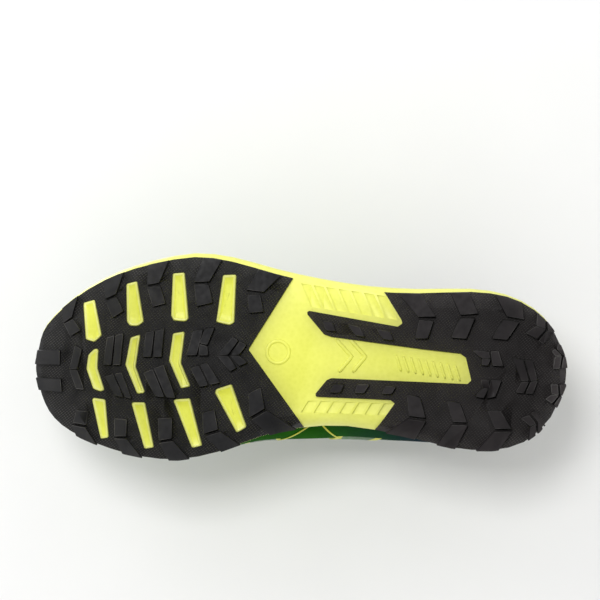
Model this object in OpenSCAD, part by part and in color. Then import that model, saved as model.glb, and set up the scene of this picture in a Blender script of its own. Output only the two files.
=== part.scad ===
// Trail running shoe for the left foot, standing upright.
// The toe points to -Y, the heel to +Y, the outer side of the foot to +X and up is +Z.
// The origin is on the ground, under the centre of the shoe's box.  Millimetres.

/* [Sole] */
// Height of the outsole lugs
lug_height = 3.6; // [2:0.2:5]
// Thickness of the rubber sheet under the lugs
rubber_base = 1.4; // [1:0.1:2.4]
// Rise of the sole at the tip of the toe
toe_spring = 16; // [8:1:20]
// Rise of the sole at the back of the heel
heel_bevel = 7; // [3:0.5:10]
// Height of the foot bed above the ground under the ball of the foot
forefoot_stack = 21; // [19:0.5:26]
// Height of the foot bed above the ground under the heel
heel_stack = 24; // [20:0.5:32]
// Width of the foam rim that the upper stands in
rim_width = 3.2; // [2:0.2:5]

/* [Upper] */
// Thickness of the knitted outer fabric
mesh_thickness = 1.2; // [0.8:0.1:2]
// Thickness of the inner lining
lining_thickness = 0.8; // [0.6:0.1:1.5]
// Thickest point of the padding in the ankle collar
collar_padding = 7; // [3:0.5:9]
// Thickness of the bonded overlays
overlay_thickness = 1; // [0.6:0.1:1.6]
// Thickness of the eyestays
eyestay_thickness = 1.2; // [0.8:0.1:2]
// Thickness of the padded tongue
tongue_thickness = 5; // [3:0.5:7]
// Length of the tongue above the top eyelets
tongue_free_length = 27; // [15:1:32]

/* [Lacing] */
// Eyelets on each side
eyelets = 6; // [5:1:7]
// Diameter of the punched eyelets
eyelet_d = 5; // [4:0.5:6]
// Width of the flat lace
lace_width = 6; // [4:0.5:7]
// Thickness of the flat lace
lace_thickness = 1.1; // [0.8:0.1:1.4]

/* [Inside] */
// Thickness of the sockliner foam
sockliner_thickness = 4; // [3:0.5:5]
// Thickness of the strobel board
strobel_thickness = 1.6; // [1:0.2:2]

/* [Hidden] */

foam_yellow = [0.90, 0.91, 0.42];
rubber_black = [0.17, 0.17, 0.16];
knit_green = [0.16, 0.42, 0.05];
deep_green = [0.10, 0.27, 0.10];
heel_navy = [0.08, 0.16, 0.24];

// ---------------------------------------------------------------- curves
function lerp(a, b, t) = a + (b - a) * t;
function unit(v) = v / norm(v);
function clamp01(t) = max(0, min(1, t));
function ease(t) = let (c = clamp01(t)) c * c * (3 - 2 * c);
function row_of(table, k) = table[max(0, min(len(table) - 1, k))];
// Smooth curve through the rows of a table, f running from 0 at the first to 1 at the last
function along(table, f) = let (
        s = clamp01(f) * (len(table) - 1),
        k = min(floor(s), len(table) - 2),
        t = s - k,
        a = row_of(table, k - 1),
        b = table[k],
        c = table[k + 1],
        d = row_of(table, k + 2))
    b + 0.5 * t * ((c - a) + t * (2 * a - 5 * b + 4 * c - d + t * (3 * (b - c) + d - a)));

// ---------------------------------------------------------------- plan of the sole
// Widest outline of the midsole from toe to heel, outer side then inner side
LATERAL = [[-1, -145.2], [9, -143.2], [17, -139.4], [27, -129.8], [37.5, -116],
    [46, -99.5], [52.3, -80], [56.4, -57], [54.2, -36], [47.8, -12.5], [42.4, 12],
    [38.4, 38], [36.8, 64], [36.9, 93], [33.8, 112.5], [26.2, 128], [15.2, 138.4],
    [0, 145.2]];
MEDIAL = [[-13, -145.2], [-22, -142.8], [-31, -138.6], [-38.5, -131.4], [-45, -120],
    [-51, -104], [-55.2, -86], [-56.5, -66], [-52.2, -44], [-44.2, -22], [-39.6, 0],
    [-38.8, 26], [-43.4, 55], [-49.9, 82], [-51.4, 104], [-47, 122.5], [-33.4, 137.6],
    [-16, 145.4]];
stations = 34;
// Places of the points across the sole, from the inner edge to the outer edge
ACROSS = [0, 0.04, 0.1, 0.2, 0.35, 0.5, 0.65, 0.8, 0.9, 0.96, 1];
across = len(ACROSS) - 1;
ring_size = 2 * stations + 2 * across;
tip_bulge = 0.9;
bulge_dir = [0, tip_bulge];

// One value for each point of a ring that runs up the outer side, round the heel, down
// the inner side and round the toe
function around(outer, inner) = concat(
    [for (i = [0 : stations]) along(outer, i / stations)],
    [for (j = [across - 1 : -1 : 1]) lerp(inner[len(inner) - 1], outer[len(outer) - 1], ACROSS[j])],
    [for (i = [stations : -1 : 0]) along(inner, i / stations)],
    [for (j = [1 : across - 1]) lerp(inner[0], outer[0], ACROSS[j])]);
function is_heel_tip(b) = b > stations && b < stations + across;
function is_toe_tip(b) = b > 2 * stations + across;
function bowed(ring) = [for (b = [0 : ring_size - 1])
    is_heel_tip(b) ? ring[b] + bulge_dir * sin(180 * ACROSS[stations + across - b])
    : is_toe_tip(b) ? ring[b] - bulge_dir * sin(180 * ACROSS[b - 2 * stations - across])
    : ring[b]];
OUTLINE = bowed(around(LATERAL, MEDIAL));
function wrap(b) = (b + ring_size) % ring_size;
function outward(b) = let (t = OUTLINE[wrap(b + 1)] - OUTLINE[wrap(b - 1)]) unit([t.y, -t.x]);
OUTWARD = [for (b = [0 : ring_size - 1]) outward(b)];
function ring_at(inset) = [for (b = [0 : ring_size - 1]) OUTLINE[b] - inset * OUTWARD[b]];
function bottom_ring(overhang = 0) = let (insets = around(BOTTOM_LATERAL, BOTTOM_MEDIAL))
    [for (b = [0 : ring_size - 1]) OUTLINE[b] + (overhang - insets[b]) * OUTWARD[b]];
function segment_gap(p, a, b) = let (s = b - a, t = clamp01((p - a) * s / (s * s)))
    norm(p - a - t * s);
// Distance from a point of the plan to the outline
function edge_gap(p) = min([for (b = [0 : ring_size - 1])
    segment_gap(p, OUTLINE[b], OUTLINE[wrap(b + 1)])]);

// ---------------------------------------------------------------- heights of the sole
toe_roll_start = -52;
heel_roll_start = 104;
toe_tip_y = -146;
heel_tip_y = 146;
edge_roll = 3;
edge_roll_width = 9;
arch_roll = 7;
arch_roll_width = 8;
arch_middle = 18;
arch_length = 55;
// Inset of the bottom edge of the sole from its widest outline, from the toe to the heel
BOTTOM_LATERAL = [0.6, 0.6, 0.7, 1.2, 1.8, 2.4, 2.6, 2, 1, 0.7, 0.6];
BOTTOM_MEDIAL = [0.6, 0.6, 0.6, 0.7, 0.8, 0.8, 0.8, 0.8, 0.8, 0.7, 0.6];

function rocker(y) = y < toe_roll_start
    ? toe_spring * pow((toe_roll_start - y) / (toe_roll_start - toe_tip_y), 2)
    : y > heel_roll_start
    ? heel_bevel * pow((y - heel_roll_start) / (heel_tip_y - heel_roll_start), 2) : 0;
function arch_share(p) = p.x > 0 ? 0 : ease(1 - abs(p.y - arch_middle) / arch_length);
// Height of the surface that the lug tips lie on
function tip_z(p) = let (gap = edge_gap(p))
    rocker(p.y) + edge_roll * pow(clamp01(1 - gap / edge_roll_width), 2)
    + arch_roll * arch_share(p) * pow(clamp01(1 - gap / arch_roll_width), 2);
function rubber_z(p) = tip_z(p) + lug_height;
function foam_z(p) = rubber_z(p) + rubber_base;
// Height of the foot bed, and of the top of the foam rim, along the shoe
function bed_z(y) = lerp(forefoot_stack, heel_stack, ease((y + 50) / 130))
    + 0.72 * rocker(y < 0 ? y : 0);
RIM_RISE = [5.5, 5, 4.5, 4.5, 5, 6, 7.5, 8.5, 9, 9, 9];
function rim_z(y) = bed_z(y) + along(RIM_RISE, (y - toe_tip_y) / (heel_tip_y - toe_tip_y));

// ---------------------------------------------------------------- solids from rings and grids
// Two triangles for each four-sided face, leaving out one that has no area
function solid_faces(list) = [for (q = list)
    for (t = [[q[0], q[1], q[2]], [q[0], q[2], q[3]]])
        if (t[0] != t[1] && t[1] != t[2] && t[2] != t[0]) t];
// Point (i, j) of the sheet that fills a ring: i from toe to heel, j from inner to outer edge
function sheet_point(ring, i, j) = let (
        outer = ring[i],
        inner = ring[2 * stations + across - i])
    j == across ? outer : j == 0 ? inner
    : i == stations ? ring[stations + across - j]
    : i == 0 ? ring[2 * stations + across + j]
    : lerp(inner, outer, ACROSS[j]);
SHEET_EDGE = concat(
    [for (i = [0 : stations]) i * (across + 1) + across],
    [for (j = [across - 1 : -1 : 1]) stations * (across + 1) + j],
    [for (i = [stations : -1 : 0]) i * (across + 1)],
    [for (j = [1 : across - 1]) j]);
function sheet(ring) = [for (i = [0 : stations]) for (j = [0 : across]) sheet_point(ring, i, j)];
function lifted(points, height) = [for (i = [0 : len(points) - 1]) [points[i].x, points[i].y, height[i]]];

// Faces over the points that a ring encloses, one strip from each station to the next;
// at(b) is the index of ring point b, and the faces look down
function strip_faces(at) = concat(
    [for (i = [1 : stations - 2])
        [at(2 * stations + across - i), at(i), at(i + 1), at(2 * stations + across - i - 1)]],
    [[at(2 * stations + across - 1), at(2 * stations + across), at(0), at(1)],
     [at(stations + across + 1), at(stations - 1), at(stations), at(stations + across)]],
    [for (j = [0 : across - 2]) let (k = 2 * stations + across + j)
        [at(k), at(k + 1), at(0), at(0)]],
    [for (j = [0 : across - 2]) let (k = stations + j)
        [at(k), at(k + 1), at(stations + across), at(stations + across)]]);

// Solid with a fine sheet as its underside, rings of 3-D points as its wall and strips on top
module sheet_solid(under, rings) {
    size = len(under);
    count = len(rings);
    function at(r, b) = r == 0 ? SHEET_EDGE[wrap(b)] : size + (r - 1) * ring_size + wrap(b);
    function cell(i, j) = i * (across + 1) + j;
    under_faces = [for (i = [0 : stations - 1]) for (j = [0 : across - 1])
        [cell(i, j), cell(i, j + 1), cell(i + 1, j + 1), cell(i + 1, j)]];
    wall_faces = [for (r = [0 : count - 1]) for (b = [0 : ring_size - 1])
        [at(r, b), at(r + 1, b), at(r + 1, b + 1), at(r, b + 1)]];
    top_faces = [for (f = strip_faces(function (b) at(count, b))) [f[3], f[2], f[1], f[0]]];
    polyhedron(concat(under, [for (r = rings) each r]),
        solid_faces(concat(under_faces, wall_faces, top_faces)), convexity = 8);
}

// Solid with strips under and over and rings of 3-D points as its wall
module ring_solid(rings) {
    count = len(rings);
    function at(r, b) = r * ring_size + wrap(b);
    wall_faces = [for (r = [0 : count - 2]) for (b = [0 : ring_size - 1])
        [at(r, b), at(r + 1, b), at(r + 1, b + 1), at(r, b + 1)]];
    top_faces = [for (f = strip_faces(function (b) at(count - 1, b))) [f[3], f[2], f[1], f[0]]];
    polyhedron([for (r = rings) each r],
        solid_faces(concat(strip_faces(function (b) at(0, b)), wall_faces, top_faces)),
        convexity = 8);
}

// Solid between two grids, outer[u][v] and inner[u][v]; with closed true, u runs round a ring
module grid_solid(outer, inner, closed = false) {
    nu = len(outer);
    nv = len(outer[0]);
    half = nu * nv;
    function o(u, v) = (u % nu) * nv + v;
    function i(u, v) = half + (u % nu) * nv + v;
    last_u = closed ? nu - 1 : nu - 2;
    skin_faces = [for (u = [0 : last_u]) for (v = [0 : nv - 2]) each [
        [o(u, v), o(u, v + 1), o(u + 1, v + 1), o(u + 1, v)],
        [i(u, v), i(u + 1, v), i(u + 1, v + 1), i(u, v + 1)]]];
    rim_faces = [for (u = [0 : last_u]) each [
        [o(u, 0), o(u + 1, 0), i(u + 1, 0), i(u, 0)],
        [i(u, nv - 1), i(u + 1, nv - 1), o(u + 1, nv - 1), o(u, nv - 1)]]];
    end_faces = closed ? [] : [for (v = [0 : nv - 2]) each [
        [i(0, v), i(0, v + 1), o(0, v + 1), o(0, v)],
        [o(nu - 1, v), o(nu - 1, v + 1), i(nu - 1, v + 1), i(nu - 1, v)]]];
    polyhedron([for (g = [outer, inner]) for (col = g) each col],
        solid_faces(concat(skin_faces, rim_faces, end_faces)), convexity = 8);
}

// ---------------------------------------------------------------- outsole
// Rear edge of the forefoot pad and outline of the heel pad
FOREFOOT_PAD = [[70, -160], [-70, -160], [-70, 21], [-33.5, -1], [4.5, -28], [42, -4.4], [70, 13]];
HEEL_PAD = [[70, 23], [33.5, 47], [20.5, 55], [18.5, 55.5], [16.8, 53], [25.5, 4.5], [24, 3.6],
    [12.7, 13], [11.3, 17], [4.6, 66], [2.2, 87], [0, 90], [-12.5, 93], [-14.4, 91], [-13.2, 66],
    [-11.2, 17], [-12.3, 14.5], [-20.2, 8], [-21.3, 9], [-23, 49], [-25, 51.5], [-37.7, 42.5],
    [-70, 20], [-70, 160], [70, 160]];
// Windows in the forefoot pad where the foam shows
WINDOWS = [
    [[29.4, -118.3], [31.3, -111.7], [11.6, -107.8], [7.8, -112], [9.3, -117]],
    [[40, -94.4], [41.6, -88.2], [19.2, -84.6], [16.8, -88], [17, -92.5], [19.6, -94.2]],
    [[45.8, -69], [46.4, -62.3], [21, -60.2], [19.4, -62], [20, -68.6], [23, -70]],
    [[45, -41.8], [45.2, -34.3], [19, -35.4], [17.4, -38], [19.2, -45.6]],
    [[4.6, -112], [4.4, -109.7], [-6.3, -110.3], [-18.2, -106.4], [-19.2, -109], [-17.7, -113],
        [-6.8, -116.8], [1, -115.7]],
    [[10.8, -92.2], [12.7, -86.4], [-5.1, -89.2], [-19.4, -84], [-20.2, -88.6], [-4.2, -95.2]],
    [[13.3, -69], [14.4, -62.2], [-3, -64.4], [-15.8, -59.2], [-17, -64.6], [-1.6, -71.2]],
    [[-22.3, -113.2], [-23.2, -106], [-44.2, -104.2], [-45.2, -109], [-24, -113.6]],
    [[-24.4, -91.4], [-24.4, -84.2], [-49.2, -79.3], [-50.2, -84.8], [-25.4, -91.8]],
    [[-22.6, -68.2], [-22, -59.6], [-48, -53], [-49.5, -58.8], [-23.6, -68.8]],
    [[-17, -45.8], [-14.2, -37], [-37.8, -28.8], [-41.2, -34.4], [-19.2, -46.2]]];
window_corner = 0.9;

// Lugs as four-sided blocks; pairs with a narrow gap are one lug with a sipe
FOREFOOT_LUGS = [
    // Toe lugs that wrap up over the tip
    [[3, -150], [3.5, -131], [-4.6, -131], [-4.8, -150]],
    [[-12, -150], [-12.2, -130.5], [-19.5, -130], [-18.5, -150]],
    // Small chevron behind the toe lugs
    [[6.5, -122.5], [4.5, -118.8], [-6.8, -121.6], [-7, -125.8]],
    [[-7, -125.8], [-6.8, -121.6], [-18, -117.6], [-17.6, -122]],
    // Outer row, edge block then inner block
    [[40, -131], [40, -119], [21.6, -124.2], [18.4, -129.2]],
    [[18, -128.8], [20.8, -123.6], [14.7, -119.2], [11.2, -125.2]],
    [[52, -108], [56, -92], [34.4, -99.6], [31.6, -105.8]],
    [[30.6, -105.8], [33.2, -99.4], [25.4, -95.4], [21.5, -101.6]],
    [[60, -82], [62, -67], [40.6, -76], [39.4, -82.8]],
    [[38.4, -82.8], [39.4, -75.6], [29.5, -72.6], [27.6, -79.6]],
    [[62, -49], [62, -37], [41.2, -49], [41.2, -57.4]],
    [[40, -57.2], [40.2, -49.4], [30, -47], [28, -56]],
    [[58, -16], [54, -1], [35.6, -19.6], [37, -29.2]],
    [[34.4, -28.4], [34.6, -21.6], [25, -19.6], [24.4, -27.6]],
    // Inner row, inner block then edge block
    [[-29, -122.2], [-29.6, -115.4], [-37.2, -116.6], [-36.2, -124]],
    [[-37.4, -125], [-38.4, -117], [-54, -107], [-54, -118]],
    [[-33, -101], [-33.2, -94], [-43, -94.4], [-43, -101]],
    [[-44, -101], [-44, -94.2], [-62, -80], [-62, -92]],
    [[-32.6, -77], [-32.4, -69.4], [-43.8, -69.4], [-45, -76.6]],
    [[-46.2, -76.8], [-44.8, -68.8], [-62, -54], [-62, -68]],
    [[-29.4, -53], [-28, -46.4], [-38.8, -44.4], [-41.2, -52.4]],
    [[-42.4, -51.6], [-39.8, -43], [-56, -20], [-58, -36]],
    [[-19, -28], [-15.8, -21.4], [-27.4, -19], [-32.2, -27.4]],
    [[-33.4, -26.6], [-28.2, -17.8], [-42, 2], [-46, -12]],
    // Middle lugs between the windows, each with a sipe
    [[11, -104.6], [12.2, -100.8], [-4.2, -102.6], [-4.2, -107]],
    [[12.4, -99.8], [13.4, -96], [-4.2, -97.6], [-4.2, -101.6]],
    [[-10.2, -106], [-8.8, -101.6], [-21.6, -95.8], [-21, -100.4]],
    [[-8.6, -100.6], [-7.8, -97], [-22.4, -91.4], [-21.8, -94.8]],
    [[14, -83.2], [14.8, -79], [0.4, -80.6], [0.4, -85.6]],
    [[15, -78], [16, -73.6], [0.4, -75], [0.4, -79.6]],
    [[-8, -85], [-5.8, -80], [-21.4, -73.4], [-21, -78.4]],
    [[-5.4, -79], [-3.4, -74], [-21.8, -67.4], [-21.5, -72.4]],
    [[15, -57.6], [16, -52.4], [1.4, -56], [1.4, -61.4]],
    [[16.2, -51.4], [16.8, -46.2], [7, -50.2], [8, -54.4]],
    [[7.8, -54.2], [6.6, -50], [1.4, -49.6], [1.4, -55]],
    [[-5.4, -59.4], [-3.6, -55], [-14.8, -49.6], [-15.8, -54.2]],
    [[-3.2, -54], [-2.4, -50.4], [-13.4, -43.2], [-14.6, -48.6]],
    // Chevron at the back of the pad
    [[11.6, -36.2], [9.9, -33.4], [1.6, -39], [1.4, -45]],
    [[9.3, -32.4], [7.4, -28.8], [1.6, -33], [1.6, -37.8]],
    [[1.4, -45], [1.6, -39], [-5.4, -34.2], [-7.4, -37.8]],
    [[1.6, -37.8], [1.6, -33], [-2.4, -28.4], [-4.6, -33]]];
HEEL_LUGS = [
    // Three small blocks on each prong
    [[20.4, 12], [19.8, 17.4], [14.4, 19.6], [15, 13.8]],
    [[18.4, 25.6], [17.2, 32], [11.4, 35.2], [12.2, 29.8]],
    [[15.6, 41.4], [14.6, 48.6], [9.6, 50.8], [10.2, 44.6]],
    [[-13.8, 17.8], [-14.2, 24], [-18.8, 22], [-18.6, 15.6]],
    [[-14, 31], [-14.2, 37.6], [-19.2, 34.6], [-18.8, 29.2]],
    [[-15, 46], [-15.4, 52], [-19.6, 49.6], [-19.2, 44]],
    // Outer row, edge block then inner block
    [[44, 46], [44, 59.5], [22.3, 73.4], [22.2, 63.8]],
    [[21, 64.4], [20.4, 72.2], [10.4, 69], [10.6, 62]],
    [[44, 77.5], [44, 87.5], [24, 96.4], [23.2, 86.6]],
    [[21.9, 86.2], [21.9, 94.6], [10.2, 89.8], [11.2, 81.6]],
    [[42, 101.5], [36, 120], [20.8, 121.2], [22.4, 111.6]],
    [[21.2, 109.6], [19.6, 118.6], [9.7, 112], [10.7, 103.6]],
    // Inner row, inner block then edge block
    [[-19.6, 58], [-21, 65], [-32.6, 68], [-31.4, 58.6]],
    [[-32.8, 58.2], [-34.2, 68.2], [-46, 61.5], [-44.5, 42]],
    [[-23.2, 79.6], [-24, 86.4], [-35, 90.4], [-34.8, 82.6]],
    [[-36, 82.2], [-36.4, 91], [-54, 82], [-54, 69.5]],
    [[-28.4, 101.6], [-28.2, 108.4], [-38.6, 114.8], [-38.6, 105.4]],
    [[-39.8, 105.2], [-39.8, 115], [-56, 104], [-56, 91]],
    // Lugs round the back, inner block then edge block, each a bent pair
    [[24.6, 128.8], [20.4, 133.2], [15.2, 133.2], [17.4, 127.8]],
    [[17.4, 127.8], [15.2, 133.2], [10, 128.2], [13.6, 122]],
    [[19.6, 134.4], [17, 141], [13, 138], [14.8, 134.2]],
    [[14.8, 134.2], [15, 139], [7.2, 131.6], [9.2, 129.2]],
    [[4.8, 138.2], [0.8, 142.4], [0.4, 138.6], [3.4, 136.6]],
    [[0.6, 138.4], [0.8, 142.4], [-6.3, 141.2], [-6.3, 137.2]],
    [[8, 140.4], [0, 150], [0.3, 143.4], [5, 139.4]],
    [[0.4, 143.4], [0, 150], [-6.3, 150], [-6.3, 142.2]],
    [[-14.4, 136], [-14.8, 140.2], [-21, 140.8], [-20, 136.6]],
    [[-20, 136.6], [-21, 140.8], [-25.2, 137], [-22.6, 133]],
    [[-14.8, 141.2], [-15, 150], [-23, 150], [-21.2, 141.8]],
    [[-21.2, 141.8], [-23, 149], [-31, 143], [-26, 138]],
    [[-32.6, 119.7], [-30.9, 124], [-35.9, 128.2], [-37.4, 125]],
    [[-37.4, 125], [-35.9, 128.2], [-50, 127.8], [-50, 123.4]],
    [[-29.8, 125.2], [-28.6, 127.7], [-39.2, 135], [-35.4, 129.6]],
    [[-34.6, 129.2], [-35.6, 131.4], [-50, 134], [-50, 129.2]],
    // Two sipe-split blocks and the big chevron in the middle of the heel
    [[4.2, 93.2], [3.8, 102], [-0.2, 103.4], [-0.4, 98.2]],
    [[-0.3, 98.2], [-0.3, 103.2], [-4.2, 101.8], [-3.8, 98]],
    [[3.8, 103], [4.2, 107.2], [-4.6, 110], [-4.2, 104]],
    [[-11.6, 97.6], [-11.4, 102.2], [-16.8, 102.6], [-16.8, 98.6]],
    [[-16.1, 98.4], [-16.3, 102.1], [-22.1, 99.4], [-20.8, 94.6]],
    [[-11.4, 103.4], [-11.8, 109], [-21.2, 105.6], [-22.1, 100.8], [-16.8, 103.8]],
    [[0.5, 114.8], [-0.5, 120.6], [-12.7, 124], [-12.7, 120]],
    [[-12.7, 120], [-12.7, 124], [-19.4, 121], [-18.6, 116.8]],
    [[-0.6, 121.6], [-1.2, 125.8], [-12.4, 128.8], [-12.7, 125.1]],
    [[-12.7, 125.1], [-12.4, 128.8], [-19.6, 126.2], [-19.5, 122.1]]];
lug_taper = 0.45;
lug_root = 0.5;
lug_overhang = 0.15;

// Block of rubber on the given corners, with drafted sides and a tip that follows the sole
module lug(corners) {
    middle = [for (k = [0, 1]) [for (c = corners) c[k]] * [for (c = corners) 1] / len(corners)];
    tips = [for (c = corners) c + lug_taper * unit(middle - c)];
    n = len(corners);
    hull() polyhedron(
        concat([for (t = tips) [t.x, t.y, tip_z(t)]],
            [for (c = corners) [c.x, c.y, rubber_z(c) + lug_root]]),
        concat([[for (k = [0 : n - 1]) k]], [[for (k = [0 : n - 1]) 2 * n - 1 - k]],
            [for (k = [0 : n - 1]) [k, n + k, n + (k + 1) % n, (k + 1) % n]]));
}

module rubber_sheet() {
    plan = sheet(bottom_ring());
    low = [for (p = plan) rubber_z(p)];
    size = len(plan);
    function cell(i, j) = i * (across + 1) + j;
    polyhedron(concat(lifted(plan, low), lifted(plan, [for (h = low) h + rubber_base])),
        solid_faces(concat(
            [for (i = [0 : stations - 1]) for (j = [0 : across - 1]) each [
                [cell(i, j), cell(i, j + 1), cell(i + 1, j + 1), cell(i + 1, j)],
                [size + cell(i + 1, j), size + cell(i + 1, j + 1), size + cell(i, j + 1),
                    size + cell(i, j)]]],
            [for (b = [0 : ring_size - 1]) let (e = SHEET_EDGE[b], f = SHEET_EDGE[wrap(b + 1)])
                [e, size + e, size + f, f]])), convexity = 8);
}

module plan_prism(outline, rounding = 0) {
    tall = 60;
    translate([0, 0, -tall / 2]) linear_extrude(tall) offset(rounding) offset(-rounding)
        polygon(outline);
}

module rubber_pad(outline, lugs, windows) {
    difference() {
        intersection() {
            rubber_sheet();
            plan_prism(outline, window_corner);
        }
        for (w = windows) plan_prism(w, window_corner);
    }
    intersection() {
        union() for (corners = lugs) lug(corners);
        plan_prism(bottom_ring(lug_overhang));
    }
}

module outsole_forefoot() color(rubber_black) rubber_pad(FOREFOOT_PAD, FOREFOOT_LUGS, WINDOWS);
module outsole_heel() color(rubber_black) rubber_pad(HEEL_PAD, HEEL_LUGS, []);

// ---------------------------------------------------------------- midsole
// Side wall of the midsole: share of its height and inset from the widest outline
WALL = [[0.12, 0.4], [0.34, 0], [0.47, 0.3], [0.53, 1.3], [0.6, 1.3], [0.66, 0.5],
    [0.86, 0.7]];
rim_round = 0.9;
rim_outer_inset = 1.8;
rim_inner_inset = rim_outer_inset + rim_width;
// Moulded louvres beside the arch
louvre_depth = 1.5;
louvre_shallow = 0.25;

// Slanted pocket between four plan corners, deepest along its first side
module louvre(a, b, c, d) {
    cover = 3;
    function low(p) = [p.x, p.y, foam_z(p) - cover];
    function high(p, depth) = [p.x, p.y, foam_z(p) + depth];
    hull() polyhedron([low(a), low(b), low(c), low(d), high(a, louvre_depth), high(b, louvre_depth),
            high(c, louvre_shallow), high(d, louvre_shallow)],
        [[0, 1, 2, 3], [7, 6, 5, 4], [0, 4, 5, 1], [1, 5, 6, 2], [2, 6, 7, 3], [3, 7, 4, 0]]);
}

module louvre_row(first, step, slant, count, gap) {
    for (k = [0 : count - 1]) {
        a = first + k * step;
        edge = (1 - gap) * step;
        louvre(a, a + slant, a + slant + edge, a + edge);
    }
}

// Rings at an inset: at the height of the rim, and at a height above the foot bed
function rim_ring(inset) = [for (b = [0 : ring_size - 1])
    let (p = OUTLINE[b] - inset * OUTWARD[b]) [p.x, p.y, rim_z(OUTLINE[b].y)]];
function bed_ring(inset, height) = [for (p = ring_at(inset)) [p.x, p.y, bed_z(p.y) + height]];

module midsole_body() {
    ring = bottom_ring();
    plan = sheet(ring);
    low = [for (p = plan) foam_z(p)];
    edge_low = [for (b = [0 : ring_size - 1]) low[SHEET_EDGE[b]]];
    function wall_ring(share, inset) = [for (b = [0 : ring_size - 1])
        let (p = OUTLINE[b] - inset * OUTWARD[b], top = rim_z(OUTLINE[b].y) - rim_round)
        [p.x, p.y, lerp(edge_low[b], top, share)]];
    sheet_solid(lifted(plan, low), concat([for (w = WALL) wall_ring(w[0], w[1])],
        [wall_ring(1, rim_outer_inset - rim_round), rim_ring(rim_outer_inset),
         rim_ring(rim_inner_inset), bed_ring(rim_inner_inset, 0)]));
}

module midsole() color(foam_yellow) difference() {
    midsole_body();
    louvre_row([40.2, 0.6], [-1.03, 6.82], [-12.6, 5.6], 7, 0.2);
    louvre_row([-23.6, 4.4], [-0.25, 6.9], [-6.2, -3.8], 7, 0.2);
}

// ---------------------------------------------------------------- shape of the upper
// Edge of the opening: front of the throat, top eyelet at 0.6, round the collar to the heel
OPEN_LATERAL = [[0, -64, 66.5], [3.5, -60, 67.5], [6.5, -51, 70], [8, -37, 74], [9, -19, 80],
    [10, 2, 88], [11.5, 24, 97.5], [18, 56, 85.5], [21.5, 91, 74], [15.5, 121, 84], [-1.5, 135, 99]];
OPEN_MEDIAL = [[-6, -64, 66.5], [-9.5, -60, 67.5], [-12.5, -51, 70.5], [-14.5, -37, 75],
    [-16.5, -19, 81.5], [-19, 2, 89.5], [-22, 24, 98.5], [-31, 56, 87.5], [-36.5, 91, 77],
    [-31.5, 121, 86], [-15, 135, 99]];
// How far the skin rises straight up from the rim before it turns in, along the shoe
RISE = [22, 22, 21, 20, 21, 24, 28, 27, 26, 28, 30];
// How far it leans out over that rise, on the outer and the inner side
LEAN_LATERAL = [0.5, 0.5, 1, 1.5, 2, 3, 4, 4.5, 4.5, 4, 3];
LEAN_MEDIAL = [0.5, 0.5, 1, 1.5, 5, 23, 39, 32, 9, 4, 3];
// How far it reaches out from the opening, as a share of the way to the rim, and its drop there
REACH = [0.6, 0.6, 0.58, 0.55, 0.52, 0.5, 0.48, 0.45, 0.38, 0.35, 0.3];
DROP = [2, 3, 5, 9, 13, 15, 15, 14, 12, 14, 16];

OPENING = around(OPEN_LATERAL, OPEN_MEDIAL);
RISES = around(RISE, RISE);
LEANS = around(LEAN_LATERAL, LEAN_MEDIAL);
REACHES = around(REACH, REACH);
DROPS = around(DROP, DROP);
FOOTING = [for (b = [0 : ring_size - 1]) let (p = OUTLINE[b] - rim_inner_inset * OUTWARD[b])
    [p.x, p.y, rim_z(OUTLINE[b].y)]];
SHOULDER = [for (b = [0 : ring_size - 1]) let (n = OUTWARD[b])
    FOOTING[b] + [LEANS[b] * n.x, LEANS[b] * n.y, RISES[b]]];
BROW = [for (b = [0 : ring_size - 1]) let (way = FOOTING[b] - OPENING[b])
    OPENING[b] + [REACHES[b] * way.x, REACHES[b] * way.y, -DROPS[b]]];

// Ring position of a place f along the outer (side 1) or inner (side -1) half of the shoe
function ring_place(side, f) = side > 0 ? f * stations : 2 * stations + across - f * stations;
function on_ring(table, b) = let (k = floor(b), t = b - k)
    lerp(table[wrap(k)], table[wrap(k + 1)], t);
// Outer face of the upper at ring position b, from the rim at v = 0 to the opening at v = 1
function skin(b, v) = let (w = 1 - v)
    w * w * w * on_ring(FOOTING, b) + 3 * w * w * v * on_ring(SHOULDER, b)
    + 3 * w * v * v * on_ring(BROW, b) + v * v * v * on_ring(OPENING, b);
function skin_normal(b, v) = let (low = max(0, v - 0.02), high = min(1, v + 0.02))
    unit(cross(skin(b + 1, v) - skin(b - 1, v), skin(b, high) - skin(b, low)));
// Point at a depth under the outer face; below v = 0 it goes down to the foot bed at v = -1
function under_skin(b, v, depth) = v < 0
    ? let (n = on_ring(OUTWARD, b), p = on_ring(OUTLINE, b) - (rim_inner_inset + depth) * n)
        [p.x, p.y, lerp(rim_z(on_ring(OUTLINE, b).y), bed_z(p.y) + seam_gap, -v)]
    : skin(b, v) - depth * skin_normal(b, v);

// Rows of the upper from the foot bed to the opening
SKIN_ROWS = [-1, 0, 0.15, 0.33, 0.52, 0.71, 0.88, 1];
RING = [for (b = [0 : ring_size - 1]) b];
// Place along its side of ring position b: 0 at the toe, 1 at the heel
function side_share(b) = let (k = wrap(b))
    k <= stations ? k / stations : k < stations + across ? 1
    : k <= 2 * stations + across ? (2 * stations + across - k) / stations : 0;
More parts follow.
